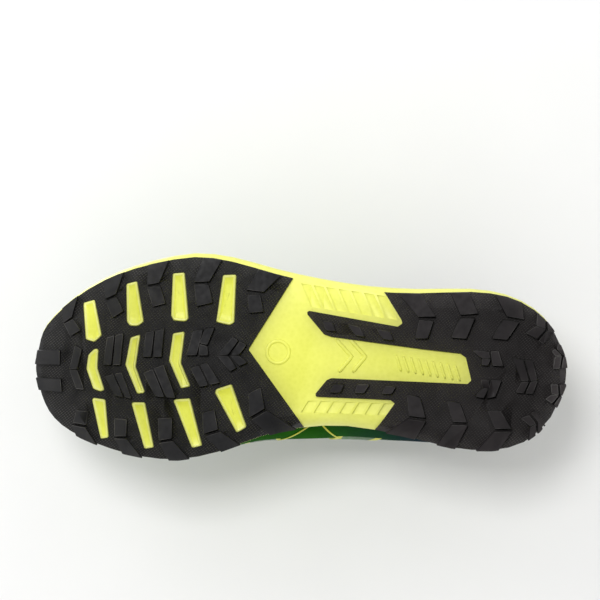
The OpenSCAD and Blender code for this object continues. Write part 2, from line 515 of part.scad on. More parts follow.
// Room left between the mesh and the lining for the counter, the collar pad and the toe puff
counter_from = 0.8;
collar_from = 0.7;
puff_to = 0.14;
counter_top = 0.5;
stiffener = 1;
seam_gap = 0.1;
room_for_stiffener = stiffener + 2 * seam_gap;
function stiffener_room(b, v) = room_for_stiffener * max(
    ease((side_share(b) - counter_from + 0.09) / 0.06) * ease((counter_top + 0.14 - v) / 0.1),
    ease((puff_to + 0.09 - side_share(b)) / 0.06) * ease((0.64 - v) / 0.1)) * ease((v + 0.2) / 0.2);
function collar_share(b, v) = ease((side_share(b) - collar_from + 0.02) / 0.12)
    * pow(sin(180 * clamp01((v - 0.46) / 0.6)), 0.8);
function lining_depth(b, v) = mesh_thickness + max(stiffener_room(b, v),
    collar_padding * collar_share(b, v));

// ---------------------------------------------------------------- eyelets
eyelet_row_v = 0.87;
first_eyelet = 0.2;
last_eyelet = 0.575;
function eyelet_place(k) = lerp(first_eyelet, last_eyelet, (k - 1) / (eyelets - 1));
module eyelet_holes() {
    reach = 8;
    for (side = [1, -1]) for (k = [1 : eyelets]) {
        b = ring_place(side, eyelet_place(k));
        n = skin_normal(b, eyelet_row_v);
        translate(skin(b, eyelet_row_v)) multmatrix(facing(n))
            hull() cylinder(h = 2 * reach, d = eyelet_d, center = true, $fn = 8);
    }
}
// Rotation that turns +Z to direction n
function facing(n) = let (x = unit(cross([0, 1, 0], n)), y = cross(n, x))
    [[x.x, y.x, n.x, 0], [x.y, y.y, n.y, 0], [x.z, y.z, n.z, 0], [0, 0, 0, 1]];

module upper_mesh() color(knit_green) difference() {
    grid_solid([for (b = RING) [for (v = SKIN_ROWS) under_skin(b, v, 0)]],
        [for (b = RING) [for (v = SKIN_ROWS) under_skin(b, v, mesh_thickness)]], closed = true);
    eyelet_holes();
}

module lining() color(heel_navy) difference() {
    grid_solid([for (b = RING) [for (v = SKIN_ROWS) under_skin(b, v, lining_depth(b, v))]],
        [for (b = RING) [for (v = SKIN_ROWS)
            under_skin(b, v, lining_depth(b, v) + lining_thickness)]], closed = true);
    eyelet_holes();
}

// Patch of the upper between ring positions and between two edges low(b) and high(b)
module patch(from, to, columns, rows, top_depth, bottom_depth, low, high) {
    places = [for (k = [0 : columns]) lerp(from, to, k / columns)];
    function grid(depth) = [for (b = places) [for (r = [0 : rows])
        let (v = lerp(low(b), high(b), r / rows)) under_skin(b, v, depth)]];
    grid_solid(grid(top_depth), grid(bottom_depth));
}

// ---------------------------------------------------------------- inside the shoe
lining_inset = rim_inner_inset + mesh_thickness + lining_thickness;
plate_thickness = 1;
board_gap = 0.3;
sock_gap = 1;
sock_cup = 5;
sock_cover_thickness = 0.6;
board_top = strobel_thickness + seam_gap;
plate_top = board_top + plate_thickness + seam_gap;
sock_bottom = plate_top + board_gap + 0.1;
sock_top = sock_bottom + sockliner_thickness;

module strobel_board() color("ivory")
    ring_solid([bed_ring(lining_inset + board_gap, seam_gap), bed_ring(lining_inset + board_gap, board_top)]);

// Loose stone guard under the ball of the foot
module rock_plate() color("dimgray") intersection() {
    ring_solid([bed_ring(lining_inset + 2, board_top + seam_gap),
        bed_ring(lining_inset + 2, plate_top)]);
    plan_prism([[70, -160], [-70, -160], [-70, -8], [-20, 6], [20, 6], [70, -8]]);
}

// Height of the raised edge of the sockliner, which cups the heel
function sock_edge(y) = 0.4 + sock_cup * ease((y + 10) / 80);
function sock_ring(inset, height, cup) = [for (p = ring_at(inset))
    [p.x, p.y, bed_z(p.y) + height + cup * sock_edge(p.y)]];
sock_inset = lining_inset + room_for_stiffener + sock_gap;

module sockliner() color("olivedrab") ring_solid([
    sock_ring(sock_inset + 0.6, sock_bottom, 0), sock_ring(sock_inset, sock_bottom + 1.5, 0),
    sock_ring(sock_inset, sock_top, 1), sock_ring(sock_inset + 9, sock_top, 0)]);

module sockliner_cover() color([0.25, 0.27, 0.24]) ring_solid([
    sock_ring(sock_inset + 9, sock_top + seam_gap, 0),
    sock_ring(sock_inset, sock_top + seam_gap, 1),
    sock_ring(sock_inset, sock_top + seam_gap + sock_cover_thickness, 1),
    sock_ring(sock_inset + 9, sock_top + seam_gap + sock_cover_thickness, 0)]);

// Sheet between the mesh and the lining, from ring position low to high
module stiffener_patch(from, to, columns, rows, low, high)
    patch(from, to, columns, rows, mesh_thickness + seam_gap,
        mesh_thickness + seam_gap + stiffener, low, high);

module heel_counter() color("gray") stiffener_patch(
    counter_from * stations, stations + across + (1 - counter_from) * stations,
    24, 3, function (b) 0.02, function (b) counter_top - 0.22 * pow(counter_side(b), 2));
function counter_side(b) = abs(2 * (b - counter_from * stations)
    / (2 * (1 - counter_from) * stations + across) - 1);

module toe_puff() color("gray") stiffener_patch(
    -across - puff_to * stations, puff_to * stations,
    20, 3, function (b) 0.04, function (b) 0.5 - 0.25 * pow(puff_side(b), 2));
function puff_side(b) = abs(2 * (b + across + puff_to * stations)
    / (2 * puff_to * stations + across) - 1);

collar_end = 0.72;
module collar_foam() color([0.75, 0.75, 0.7]) {
    places = [for (k = [0 : 36]) lerp(collar_end * stations,
        stations + across + (1 - collar_end) * stations, k / 36)];
    levels = [0.66, 0.72, 0.79, 0.86, 0.92];
    grid_solid([for (b = places) [for (v = levels) under_skin(b, v, mesh_thickness + 0.35)]],
        [for (b = places) [for (v = levels) under_skin(b, v, lining_depth(b, v) - 0.35)]]);
}

// ---------------------------------------------------------------- overlays
patch_gap = 0.12;
module overlay(from, to, columns, rows, low, high, thickness = overlay_thickness)
    patch(from, to, columns, rows, -patch_gap - thickness, -patch_gap, low, high);

bumper_reach = 0.2;
function bumper_side(b) = abs(2 * (b + across + bumper_reach * stations)
    / (2 * bumper_reach * stations + across) - 1);
module toe_bumper() color(rubber_black) overlay(-across - bumper_reach * stations,
    bumper_reach * stations, 24, 3, function (b) 0.03,
    function (b) 0.34 - 0.24 * pow(bumper_side(b), 2));

heel_reach = 0.1;
function heel_side(b) = abs(2 * (b - (1 - heel_reach) * stations)
    / (2 * heel_reach * stations + across) - 1);
module heel_overlay() color(heel_navy) overlay((1 - heel_reach) * stations,
    (1 + heel_reach) * stations + across, 20, 5, function (b) 0.03,
    function (b) 0.84 - 0.5 * pow(heel_side(b), 1.6));

// Low guard round each side between the toe bumper and the heel overlay
guard_gap = 0.012;
module mudguard() color(deep_green) for (side = [1, -1]) {
    a = ring_place(side, side > 0 ? bumper_reach + guard_gap : 1 - heel_reach - guard_gap);
    b = ring_place(side, side > 0 ? 1 - heel_reach - guard_gap : bumper_reach + guard_gap);
    overlay(a, b, 23, 3, function (b) 0.03,
        function (b) 0.15 + 0.05 * sin(180 * side_share(b)), 0.6);
}

// Straps bonded over the mesh, from the eyestay down to the sole
strap_width = 0.055;
strap_thickness = 0.6;
module strap(side, top, foot) {
    half = strap_width * stations / 2;
    levels = [for (k = [0 : 5]) lerp(0.23, 0.76, k / 5)];
    function grid(depth) = [for (e = [-half, half]) [for (v = levels)
        under_skin(lerp(ring_place(side, foot), ring_place(side, top), v) + e, v, depth)]];
    grid_solid(grid(-patch_gap - strap_thickness), grid(-patch_gap));
}
// Places of each strap along the side, at the eyestay and at the sole
STRAPS = [[0.42, 0.36], [0.5, 0.53], [0.58, 0.68]];
module saddle(side) for (s = STRAPS) strap(side, s[0], s[1]);
module saddle_lateral() color(foam_yellow) saddle(1);
module saddle_medial() color(foam_yellow) saddle(-1);

eyestay_from = 0.1;
eyestay_to = 0.645;
function eyestay_low(f) = 0.795 - 0.02 * sin(360 * (f - eyestay_from) / (eyestay_to - eyestay_from));
module eyestay(side) difference() {
    a = ring_place(side, side > 0 ? eyestay_from : eyestay_to);
    b = ring_place(side, side > 0 ? eyestay_to : eyestay_from);
    overlay(a, b, 16, 2, function (b) eyestay_low(side_share(b)), function (b) 1,
        eyestay_thickness);
    eyelet_holes();
}
module eyestay_lateral() color(deep_green) eyestay(1);
module eyestay_medial() color(deep_green) eyestay(-1);

// ---------------------------------------------------------------- tongue
lace_room = 3.3;
tongue_depth = mesh_thickness + lining_thickness + lace_room;
tongue_from = 0.07;
tongue_to = 0.622;
tongue_steps = 11;
tongue_arch = 2;
tongue_tip_lean = [0, 0.6, 0.8];
wing_v = 0.84;
top_wing_v = 0.97;
low_wing_lift = 0.5;
wing_lift = 1.25;
cover_thickness = 0.7;

// Point across the tongue, q from -1 at the inner wing to 1 at the outer wing
function tongue_edge(side, f, v, lift = 0) =
    under_skin(ring_place(side, f), v, tongue_depth - lift);
function tongue_across(f, q) = abs(q) > 0.5
    ? tongue_edge(q > 0 ? 1 : -1, f, lerp(1,
        lerp(wing_v, top_wing_v, ease((f - 0.42) / 0.16)), (abs(q) - 0.5) / 0.5),
        lerp(low_wing_lift, wing_lift, ease((f - 0.5) / 0.1)) * (abs(q) - 0.5) / 0.5)
    : lerp(tongue_edge(-1, f, 1), tongue_edge(1, f, 1), q + 0.5)
        + [0, 0, tongue_arch * cos(180 * q)];
TONGUE_Q = [-1, -0.75, -0.5, -0.25, 0, 0.25, 0.5, 0.75, 1];
tip_narrowing = 0.2;
tip_steps = 4;
tip_round = 7;
function tongue_row(k, q) = k <= tongue_steps
    ? tongue_across(lerp(tongue_from, tongue_to, k / tongue_steps), q)
    : let (t = (k - tongue_steps) / tip_steps,
           base = tongue_across(tongue_to, q), middle = tongue_across(tongue_to, 0))
        middle + (1 - tip_narrowing * t) * (base - middle)
        + (t * tongue_free_length - tip_round * pow(t, 3) * q * q) * unit(tongue_tip_lean)
        + [0, 0, 3 * t * q * q];
tongue_rows = tongue_steps + tip_steps;
function tongue_up(k) = let (
        a = tongue_row(max(0, k - 1), 0),
        b = tongue_row(min(tongue_rows, k + 1), 0))
    unit(cross([1, 0, 0], b - a));
function tongue_sheet(depth, first, last, spread) = [for (q = TONGUE_Q)
    [for (k = [first : last]) tongue_row(k, q * spread) - depth * tongue_up(k)]];

module tongue_cover() color(knit_green)
    grid_solid(tongue_sheet(0, 0, tongue_rows, 1), tongue_sheet(cover_thickness, 0, tongue_rows, 1));
module tongue_foam() color([0.75, 0.75, 0.7])
    grid_solid(tongue_sheet(cover_thickness, 0, tongue_rows, 0.94),
        tongue_sheet(tongue_thickness, 0, tongue_rows, 0.94));

// ---------------------------------------------------------------- laces
lace_lift = eyestay_thickness + patch_gap + lace_thickness / 2 + 0.35;
under_depth = mesh_thickness + lining_thickness + 1.1;

// Flat ribbon along points with a face direction and a width share at each
module ribbon(points, faces, widths, thickness = lace_thickness, width = lace_width) {
    last = len(points) - 1;
    function tangent(k) = unit(points[min(last, k + 1)] - points[max(0, k - 1)]);
    function side_dir(k) = unit(cross(tangent(k), faces[k]));
    function up_dir(k) = cross(side_dir(k), tangent(k));
    function corner(k, s, u) = points[k] + s * widths[k] * width / 2 * side_dir(k)
        + u * thickness / 2 * up_dir(k);
    grid_solid([for (s = [-1, 1]) [for (k = [0 : last]) corner(k, s, 1)]],
        [for (s = [-1, 1]) [for (k = [0 : last]) corner(k, s, -1)]]);
}
function smooth_path(table, count) = [for (k = [0 : count]) along(table, k / count)];

function eyelet_point(side, k, height) = let (b = ring_place(side, eyelet_place(k)))
    skin(b, eyelet_row_v) + height * skin_normal(b, eyelet_row_v);
function eyelet_normal(side, k) = skin_normal(ring_place(side, eyelet_place(k)), eyelet_row_v);
function edge_point(side, place, height) = let (b = ring_place(side, place))
    skin(b, 1) + height * skin_normal(b, 1);
function edge_normal(side, place) = skin_normal(ring_place(side, place), 1);
function eyelet_step() = (last_eyelet - first_eyelet) / (eyelets - 1);

// Lace over the eyestay from eyelet k, across the throat and under the other eyestay
module crossing(side, k, lift) {
    near = eyelet_place(k) + 0.28 * eyelet_step();
    far = eyelet_place(k) + 0.78 * eyelet_step();
    middle = lerp(edge_point(side, near, 0), edge_point(-side, far, 0), 0.5) + [0, 0, lift];
    n = eyelet_normal(side, k);
    m = eyelet_normal(-side, k + 1);
    points = [eyelet_point(side, k, -0.9), eyelet_point(side, k, lace_lift),
        edge_point(side, near, lace_lift), middle, edge_point(-side, far, -under_depth),
        under_skin(ring_place(-side, eyelet_place(k + 1) - 0.1 * eyelet_step()), 0.93, under_depth)];
    faces = [n, n, edge_normal(side, near), [0, -0.4, 1], edge_normal(-side, far), m];
    ribbon(smooth_path(points, 10), smooth_path(faces, 10),
        smooth_path([0.6, 0.75, 1, 1, 1, 1], 10));
}

module straight_bar() {
    n = eyelet_normal(1, 1);
    m = eyelet_normal(-1, 1);
    f = eyelet_place(1);
    middle = lerp(edge_point(1, f, 0), edge_point(-1, f, 0), 0.5) + [0, 0, 2.4];
    points = [eyelet_point(1, 1, -0.9), eyelet_point(1, 1, lace_lift), edge_point(1, f, lace_lift),
        middle, edge_point(-1, f, lace_lift), eyelet_point(-1, 1, lace_lift), eyelet_point(-1, 1, -0.9)];
    faces = [n, n, edge_normal(1, f), [0, -0.4, 1], edge_normal(-1, f), m, m];
    ribbon(smooth_path(points, 14), smooth_path(faces, 14),
        smooth_path([0.6, 0.75, 1, 1, 1, 0.75, 0.6], 14));
}

// First crossing, which runs under both eyestays
module hidden_crossing(side, lift) {
    near = eyelet_place(1) + 0.3 * eyelet_step();
    far = eyelet_place(1) + 0.78 * eyelet_step();
    middle = lerp(edge_point(side, near, -1), edge_point(-side, far, -1), 0.5) + [0, 0, lift];
    points = [under_skin(ring_place(side, eyelet_place(1) + 0.1 * eyelet_step()), 0.93, under_depth),
        edge_point(side, near, -under_depth), middle, edge_point(-side, far, -under_depth),
        under_skin(ring_place(-side, eyelet_place(2) - 0.1 * eyelet_step()), 0.93, under_depth)];
    faces = [edge_normal(side, near), edge_normal(side, near), [0, -0.4, 1],
        edge_normal(-side, far), edge_normal(-side, far)];
    ribbon(smooth_path(points, 8), smooth_path(faces, 8), [for (k = [0 : 8]) 1]);
}

// Last crossing, whose tail is tucked away under the other eyestay
TAIL = [[0.598, 1], [0.59, 0.93], [0.57, 0.87], [0.53, 0.82], [0.47, 0.8]];
function tail_point(side, at) = under_skin(ring_place(side, at[0]), at[1], under_depth);
function tail_normal(side, at) = skin_normal(ring_place(side, at[0]), at[1]);
module last_crossing(side, lift) {
    near = last_eyelet + 0.06 * eyelet_step();
    middle = lerp(edge_point(side, near, 0), tail_point(-side, TAIL[0]), 0.5) + [0, 0, lift];
    n = eyelet_normal(side, eyelets);
    ribbon(smooth_path(concat([eyelet_point(side, eyelets, -0.9),
            eyelet_point(side, eyelets, lace_lift), edge_point(side, near, lace_lift), middle],
            [for (at = TAIL) tail_point(-side, at)]), 16),
        smooth_path(concat([n, n, edge_normal(side, near), [0, -0.4, 1]],
            [for (at = TAIL) tail_normal(-side, at)]), 16),
        smooth_path([0.6, 0.75, 1, 1, 1, 1, 1, 0.8, 0.4], 16));
}

module lace() color("black") {
    straight_bar();
    hidden_crossing(1, 1.4);
    hidden_crossing(-1, 2.9);
    for (k = [2 : eyelets - 1]) {
        crossing(1, k, 1.6);
        crossing(-1, k, 3.2);
    }
    last_crossing(1, 1.8);
    last_crossing(-1, 3.4);
}

aglet_width = 2.8;
aglet_thickness = 1.7;
module aglets() color("dimgray") for (side = [1, -1]) {
    places = [[0.475, 0.801], [0.44, 0.797], [0.4, 0.795]];
    ribbon([for (at = places) tail_point(side, at)], [for (at = places) tail_normal(side, at)],
        [1, 1, 0.7], aglet_thickness, aglet_width);
}

// ---------------------------------------------------------------- heel pull tab
tab_width = 14;
tab_height = 18;
tab_loop_r = 5.4;
tab_web = 1.4;
tab_middle = [-8, 133.6, 101.3];
module heel_pull_tab() color(foam_yellow)
    translate(tab_middle) rotate([90, 0, 90]) translate([0, 0, -tab_width / 2])
    linear_extrude(tab_width) difference() {
        hull() {
            circle(tab_web, $fn = 24);
            translate([0, tab_height - tab_loop_r - tab_web]) circle(tab_loop_r, $fn = 32);
        }
        hull() {
            translate([0, 2.4]) circle(0.3, $fn = 16);
            translate([0, tab_height - tab_loop_r - tab_web])
                circle(tab_loop_r - tab_web, $fn = 32);
        }
    }

outsole_forefoot();
outsole_heel();
midsole();
strobel_board();
rock_plate();
sockliner();
sockliner_cover();
upper_mesh();
lining();
toe_puff();
heel_counter();
collar_foam();
toe_bumper();
heel_overlay();
mudguard();
saddle_lateral();
saddle_medial();
eyestay_lateral();
eyestay_medial();
tongue_foam();
tongue_cover();
lace();
aglets();
heel_pull_tab();
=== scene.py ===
"""Looks of a left trail running shoe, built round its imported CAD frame.

The shape code works in millimetres in the row frame: toe to -Y, outer side to +X, up to +Z.
Ring positions run up the outer side, round the heel, down the inner side and round the toe.
"""

import math

import bmesh
import bpy
import numpy as np
from mathutils import Matrix, Vector


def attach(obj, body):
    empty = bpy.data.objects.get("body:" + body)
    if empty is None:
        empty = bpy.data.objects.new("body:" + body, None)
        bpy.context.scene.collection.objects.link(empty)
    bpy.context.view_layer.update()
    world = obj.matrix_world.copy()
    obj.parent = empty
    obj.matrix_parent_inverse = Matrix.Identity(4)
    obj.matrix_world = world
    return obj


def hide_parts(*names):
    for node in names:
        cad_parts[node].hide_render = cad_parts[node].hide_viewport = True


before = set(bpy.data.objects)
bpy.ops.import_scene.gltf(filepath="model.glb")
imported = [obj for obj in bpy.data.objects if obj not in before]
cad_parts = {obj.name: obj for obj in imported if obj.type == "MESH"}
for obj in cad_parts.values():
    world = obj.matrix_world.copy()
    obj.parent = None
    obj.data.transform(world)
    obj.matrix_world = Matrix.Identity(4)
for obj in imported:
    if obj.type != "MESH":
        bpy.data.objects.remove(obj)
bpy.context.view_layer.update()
MM = 0.001


# ---- curves
def lerp(a, b, t):
    return a + (b - a) * t


def ease(t):
    c = np.clip(t, 0, 1)
    return c * c * (3 - 2 * c)


def unit(v):
    return v / np.linalg.norm(v, axis=-1, keepdims=True)


def smooth_rows(table, f):
    """Smooth curve through the rows of a table, f from 0 at the first to 1 at the last."""
    table, f = np.asarray(table, float), np.asarray(f, float)
    s = np.clip(f, 0, 1) * (len(table) - 1)
    k = np.minimum(np.floor(s).astype(int), len(table) - 2)
    t = s - k
    if table.ndim > 1:
        t = t[..., None]
    a, b = table[np.maximum(k - 1, 0)], table[k]
    c, d = table[k + 1], table[np.minimum(k + 2, len(table) - 1)]
    return b + 0.5 * t * ((c - a) + t * (2 * a - 5 * b + 4 * c - d + t * (3 * (b - c) + d - a)))


# ---- plan of the sole
LATERAL = [[-1, -145.2], [9, -143.2], [17, -139.4], [27, -129.8], [37.5, -116],
           [46, -99.5], [52.3, -80], [56.4, -57], [54.2, -36], [47.8, -12.5], [42.4, 12],
           [38.4, 38], [36.8, 64], [36.9, 93], [33.8, 112.5], [26.2, 128], [15.2, 138.4],
           [0, 145.2]]
MEDIAL = [[-13, -145.2], [-22, -142.8], [-31, -138.6], [-38.5, -131.4], [-45, -120],
          [-51, -104], [-55.2, -86], [-56.5, -66], [-52.2, -44], [-44.2, -22], [-39.6, 0],
          [-38.8, 26], [-43.4, 55], [-49.9, 82], [-51.4, 104], [-47, 122.5], [-33.4, 137.6],
          [-16, 145.4]]
STATIONS = 136
TIP = np.interp(np.linspace(0, 10, 25), range(11),
                [0, 0.04, 0.1, 0.2, 0.35, 0.5, 0.65, 0.8, 0.9, 0.96, 1])
ACROSS = len(TIP) - 1
RING = 2 * STATIONS + 2 * ACROSS
TIP_BULGE = 0.9


def around(outer, inner):
    """One value for each ring point, from a table for each side."""
    outer, inner = np.asarray(outer, float), np.asarray(inner, float)
    f = np.linspace(0, 1, STATIONS + 1)
    t = TIP[1:-1].reshape((-1,) + (1,) * (outer.ndim - 1))
    return np.concatenate([smooth_rows(outer, f), lerp(inner[-1], outer[-1], t[::-1]),
                           smooth_rows(inner, f[::-1]), lerp(inner[0], outer[0], t)])


OUTLINE = around(LATERAL, MEDIAL)
OUTLINE[STATIONS + 1:STATIONS + ACROSS, 1] += TIP_BULGE * np.sin(np.pi * TIP[-2:0:-1])
OUTLINE[2 * STATIONS + ACROSS + 1:, 1] -= TIP_BULGE * np.sin(np.pi * TIP[1:-1])
ALONG_EDGE = np.roll(OUTLINE, -2, 0) - np.roll(OUTLINE, 2, 0)
OUTWARD = unit(np.stack([ALONG_EDGE[:, 1], -ALONG_EDGE[:, 0]], 1))


def edge_gap(p):
    """Distance from points of the plan to the outline."""
    a, s = OUTLINE, np.roll(OUTLINE, -1, 0) - OUTLINE
    w = p[..., None, :] - a
    t = np.clip((w * s).sum(-1) / (s * s).sum(-1), 0, 1)
    return np.linalg.norm(w - t[..., None] * s, axis=-1).min(-1)


# ---- heights of the sole
TOE_ROLL_START, HEEL_ROLL_START = -52, 104
TOE_TIP_Y, HEEL_TIP_Y = -146, 146
TOE_SPRING, HEEL_BEVEL = 16, 7
EDGE_ROLL, EDGE_ROLL_WIDTH = 3, 9
ARCH_ROLL, ARCH_ROLL_WIDTH, ARCH_MIDDLE, ARCH_LENGTH = 7, 8, 18, 55
LUG_HEIGHT, RUBBER_BASE = 3.6, 1.4
RIM_RISE = [5.5, 5, 4.5, 4.5, 5, 6, 7.5, 8.5, 9, 9, 9]
RIM_INNER_INSET = 5


def rocker(y):
    toe = np.clip((TOE_ROLL_START - y) / (TOE_ROLL_START - TOE_TIP_Y), 0, None)
    heel = np.clip((y - HEEL_ROLL_START) / (HEEL_TIP_Y - HEEL_ROLL_START), 0, None)
    return TOE_SPRING * toe ** 2 + HEEL_BEVEL * heel ** 2


def tip_z(p):
    """Height of the surface that the lug tips lie on, at points of the plan."""
    gap = edge_gap(p)
    arch = np.where(p[..., 0] > 0, 0, ease(1 - abs(p[..., 1] - ARCH_MIDDLE) / ARCH_LENGTH))
    return (rocker(p[..., 1]) + EDGE_ROLL * np.clip(1 - gap / EDGE_ROLL_WIDTH, 0, 1) ** 2
            + ARCH_ROLL * arch * np.clip(1 - gap / ARCH_ROLL_WIDTH, 0, 1) ** 2)


def foam_z(p):
    return tip_z(p) + LUG_HEIGHT + RUBBER_BASE


def bed_z(y):
    return lerp(21, 24, ease((y + 50) / 130)) + 0.72 * rocker(np.minimum(y, 0))


def rim_z(y):
    return bed_z(y) + smooth_rows(RIM_RISE, (y - TOE_TIP_Y) / (HEEL_TIP_Y - TOE_TIP_Y))


# ---- skin of the upper
OPEN_LATERAL = [[0, -64, 66.5], [3.5, -60, 67.5], [6.5, -51, 70], [8, -37, 74], [9, -19, 80],
                [10, 2, 88], [11.5, 24, 97.5], [18, 56, 85.5], [21.5, 91, 74], [15.5, 121, 84],
                [-1.5, 135, 99]]
OPEN_MEDIAL = [[-6, -64, 66.5], [-9.5, -60, 67.5], [-12.5, -51, 70.5], [-14.5, -37, 75],
               [-16.5, -19, 81.5], [-19, 2, 89.5], [-22, 24, 98.5], [-31, 56, 87.5],
               [-36.5, 91, 77], [-31.5, 121, 86], [-15, 135, 99]]
RISE = [22, 22, 21, 20, 21, 24, 28, 27, 26, 28, 30]
LEAN_LATERAL = [0.5, 0.5, 1, 1.5, 2, 3, 4, 4.5, 4.5, 4, 3]
LEAN_MEDIAL = [0.5, 0.5, 1, 1.5, 5, 23, 39, 32, 9, 4, 3]
REACH = [0.6, 0.6, 0.58, 0.55, 0.52, 0.5, 0.48, 0.45, 0.38, 0.35, 0.3]
DROP = [2, 3, 5, 9, 13, 15, 15, 14, 12, 14, 16]
KNIT, LINING, EYESTAY, LACE = 1.2, 0.8, 1.2, 1.1

OPENING = around(OPEN_LATERAL, OPEN_MEDIAL)
FOOTING = np.column_stack([OUTLINE - RIM_INNER_INSET * OUTWARD, rim_z(OUTLINE[:, 1])])
LEANS = around(LEAN_LATERAL, LEAN_MEDIAL)[:, None] * OUTWARD
SHOULDER = FOOTING + np.column_stack([LEANS, around(RISE, RISE)])
BROW = OPENING + np.column_stack([
    (FOOTING - OPENING)[:, :2] * around(REACH, REACH)[:, None], -around(DROP, DROP)])


def place(side, f):
    """Ring position of a place f along the outer (side 1) or inner (side -1) half."""
    return f * STATIONS if side > 0 else 2 * STATIONS + ACROSS - f * STATIONS


def side_share(b):
    """Place along its side of a ring position: 0 at the toe, 1 at the heel."""
    k = np.mod(b, RING)
    inner = np.clip((2 * STATIONS + ACROSS - k) / STATIONS, 0, 1)
    return np.where(k <= STATIONS, k / STATIONS, inner)


def on_ring(table, b):
    k = np.floor(b).astype(int)
    t = (b - k)[..., None]
    return lerp(table[k % RING], table[(k + 1) % RING], t)


def skin(b, v):
    """Outer face of the upper, from the rim at v = 0 to the opening at v = 1."""
    b, v = np.broadcast_arrays(np.asarray(b, float), np.asarray(v, float))
    t = v[..., None]
    w = 1 - t
    return (w ** 3 * on_ring(FOOTING, b) + 3 * w * w * t * on_ring(SHOULDER, b)
            + 3 * w * t * t * on_ring(BROW, b) + t ** 3 * on_ring(OPENING, b))


def skin_normal(b, v):
    b, v = np.broadcast_arrays(np.asarray(b, float), np.asarray(v, float))
    low, high = np.clip(v - 0.02, 0, 0.98), np.clip(v + 0.02, 0.02, 1)
    return unit(np.cross(skin(b + 3, v) - skin(b - 3, v), skin(b, high) - skin(b, low)))


def under_skin(b, v, depth):
    """Point at a depth under the outer face."""
    depth = np.asarray(depth, float)[..., None]
    return skin(b, v) - depth * skin_normal(b, v)


# ---- meshes
SHARP_ANGLE = 50


def add_object(name, data):
    made = bpy.data.objects.new(name, data)
    bpy.context.scene.collection.objects.link(made)
    return made


def smooth_faces(mesh, sharp=None):
    """Smooth shading, with edges over an angle in degrees left sharp."""
    mesh.polygons.foreach_set("use_smooth", [True] * len(mesh.polygons))
    if sharp:
        mesh.set_sharp_from_angle(angle=math.radians(sharp))


def piece(name, points, faces, materials, body="root", uv=None, sharp=None):
    """A mesh piece from points in millimetres, riding on a body."""
    mesh = bpy.data.meshes.new(name)
    mesh.from_pydata((np.asarray(points) * MM).tolist(), [], faces)
    if uv is not None:
        layer = mesh.uv_layers.new(name="weave")
        corners = np.empty(len(mesh.loops), int)
        mesh.loops.foreach_get("vertex_index", corners)
        layer.data.foreach_set("uv", (np.asarray(uv)[corners] * MM).ravel())
    work = bmesh.new()
    work.from_mesh(mesh)
    bmesh.ops.recalc_face_normals(work, faces=work.faces)
    work.to_mesh(mesh)
    work.free()
    smooth_faces(mesh, sharp)
    for m in materials if isinstance(materials, list) else [materials]:
        mesh.materials.append(m)
    made = add_object(name, mesh)
    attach(made, body)
    return made


def arc_uv(grid):
    """Distances along and across a grid of points, for weaves that keep their scale."""
    steps = np.linalg.norm(np.diff(grid, axis=0), axis=2)
    middle = steps[:, steps.shape[1] // 2]
    u = np.concatenate([[0], np.cumsum(middle)])
    rows = np.linalg.norm(np.diff(grid, axis=1), axis=2)
    v = np.concatenate([np.zeros((len(grid), 1)), np.cumsum(rows, 1)], 1)
    return np.stack([np.broadcast_to(u[:, None], v.shape), v], 2)


def grid_faces(n, m, closed=False, first=0):
    columns = range(n if closed else n - 1)
    return [(first + i * m + j, first + (i + 1) % n * m + j, first + (i + 1) % n * m + j + 1,
             first + i * m + j + 1) for i in columns for j in range(m - 1)]


def tube_faces(n, m, closed=False):
    """Quads round n rings of m points each."""
    return [(i * m + j, (i + 1) % n * m + j, (i + 1) % n * m + (j + 1) % m, i * m + (j + 1) % m)
            for i in range(n if closed else n - 1) for j in range(m)]


def ring_sheet(name, grid, material):
    """A single surface all round the ring, over a grid of points."""
    n, m = grid.shape[:2]
    return piece(name, grid.reshape(-1, 3), grid_faces(n, m, closed=True), material,
                 uv=arc_uv(grid).reshape(-1, 2))


def shell(name, top, bottom, materials, body="root", bevel=0.0):
    """A closed sheet between two grids of points, with rounded edges."""
    n, m = top.shape[:2]
    count = n * m
    rim = ([i * m for i in range(n)] + [(n - 1) * m + j for j in range(1, m)]
           + [i * m + m - 1 for i in range(n - 2, -1, -1)] + [j for j in range(m - 2, 0, -1)])
    faces = grid_faces(n, m) + grid_faces(n, m, first=count)
    faces += [(a, b, b + count, a + count) for a, b in zip(rim, rim[1:] + rim[:1])]
    uv = arc_uv(top).reshape(-1, 2)
    made = piece(name, np.concatenate([top.reshape(-1, 3), bottom.reshape(-1, 3)]), faces,
                 materials, body, np.concatenate([uv, uv]), SHARP_ANGLE)
    if bevel:
        add_bevel(made, bevel)
    return made


def add_bevel(made, width, angle=SHARP_ANGLE):
    rounding = made.modifiers.new("edge_rounding", "BEVEL")
    rounding.width = width * MM
    rounding.segments = 2
    rounding.limit_method = "ANGLE"
    rounding.angle_limit = math.radians(angle)


def joined(name, parts, materials, body="root"):
    """One piece from several (points, faces, uv) meshes."""
    points, uv = (np.concatenate([part[k] for part in parts]) for k in (0, 2))
    faces, first = [], 0
    for part in parts:
        faces += [tuple(k + first for k in face) for face in part[1]]
        first += len(part[0])
    return piece(name, points, faces, materials, body, uv)


def lengths(path):
    """Distance along a path to each of its points."""
    return np.concatenate([[0], np.cumsum(np.linalg.norm(np.diff(path, axis=0), axis=1))])


def tube_mesh(path, across, up, section):
    """A closed bar along a path, its section points placed with two directions per point."""
    n, m = len(path), len(section)
    grid = (path[:, None] + section[None, :, :1] * across[:, None]
            + section[None, :, 1:] * up[:, None])
    faces = tube_faces(n, m) + [tuple(range(m)), tuple((n - 1) * m + j for j in range(m))]
    uv = np.stack(np.broadcast_arrays(section[None, :, 0], lengths(path)[:, None]), 2)
    return grid.reshape(-1, 3), faces, uv.reshape(-1, 2)


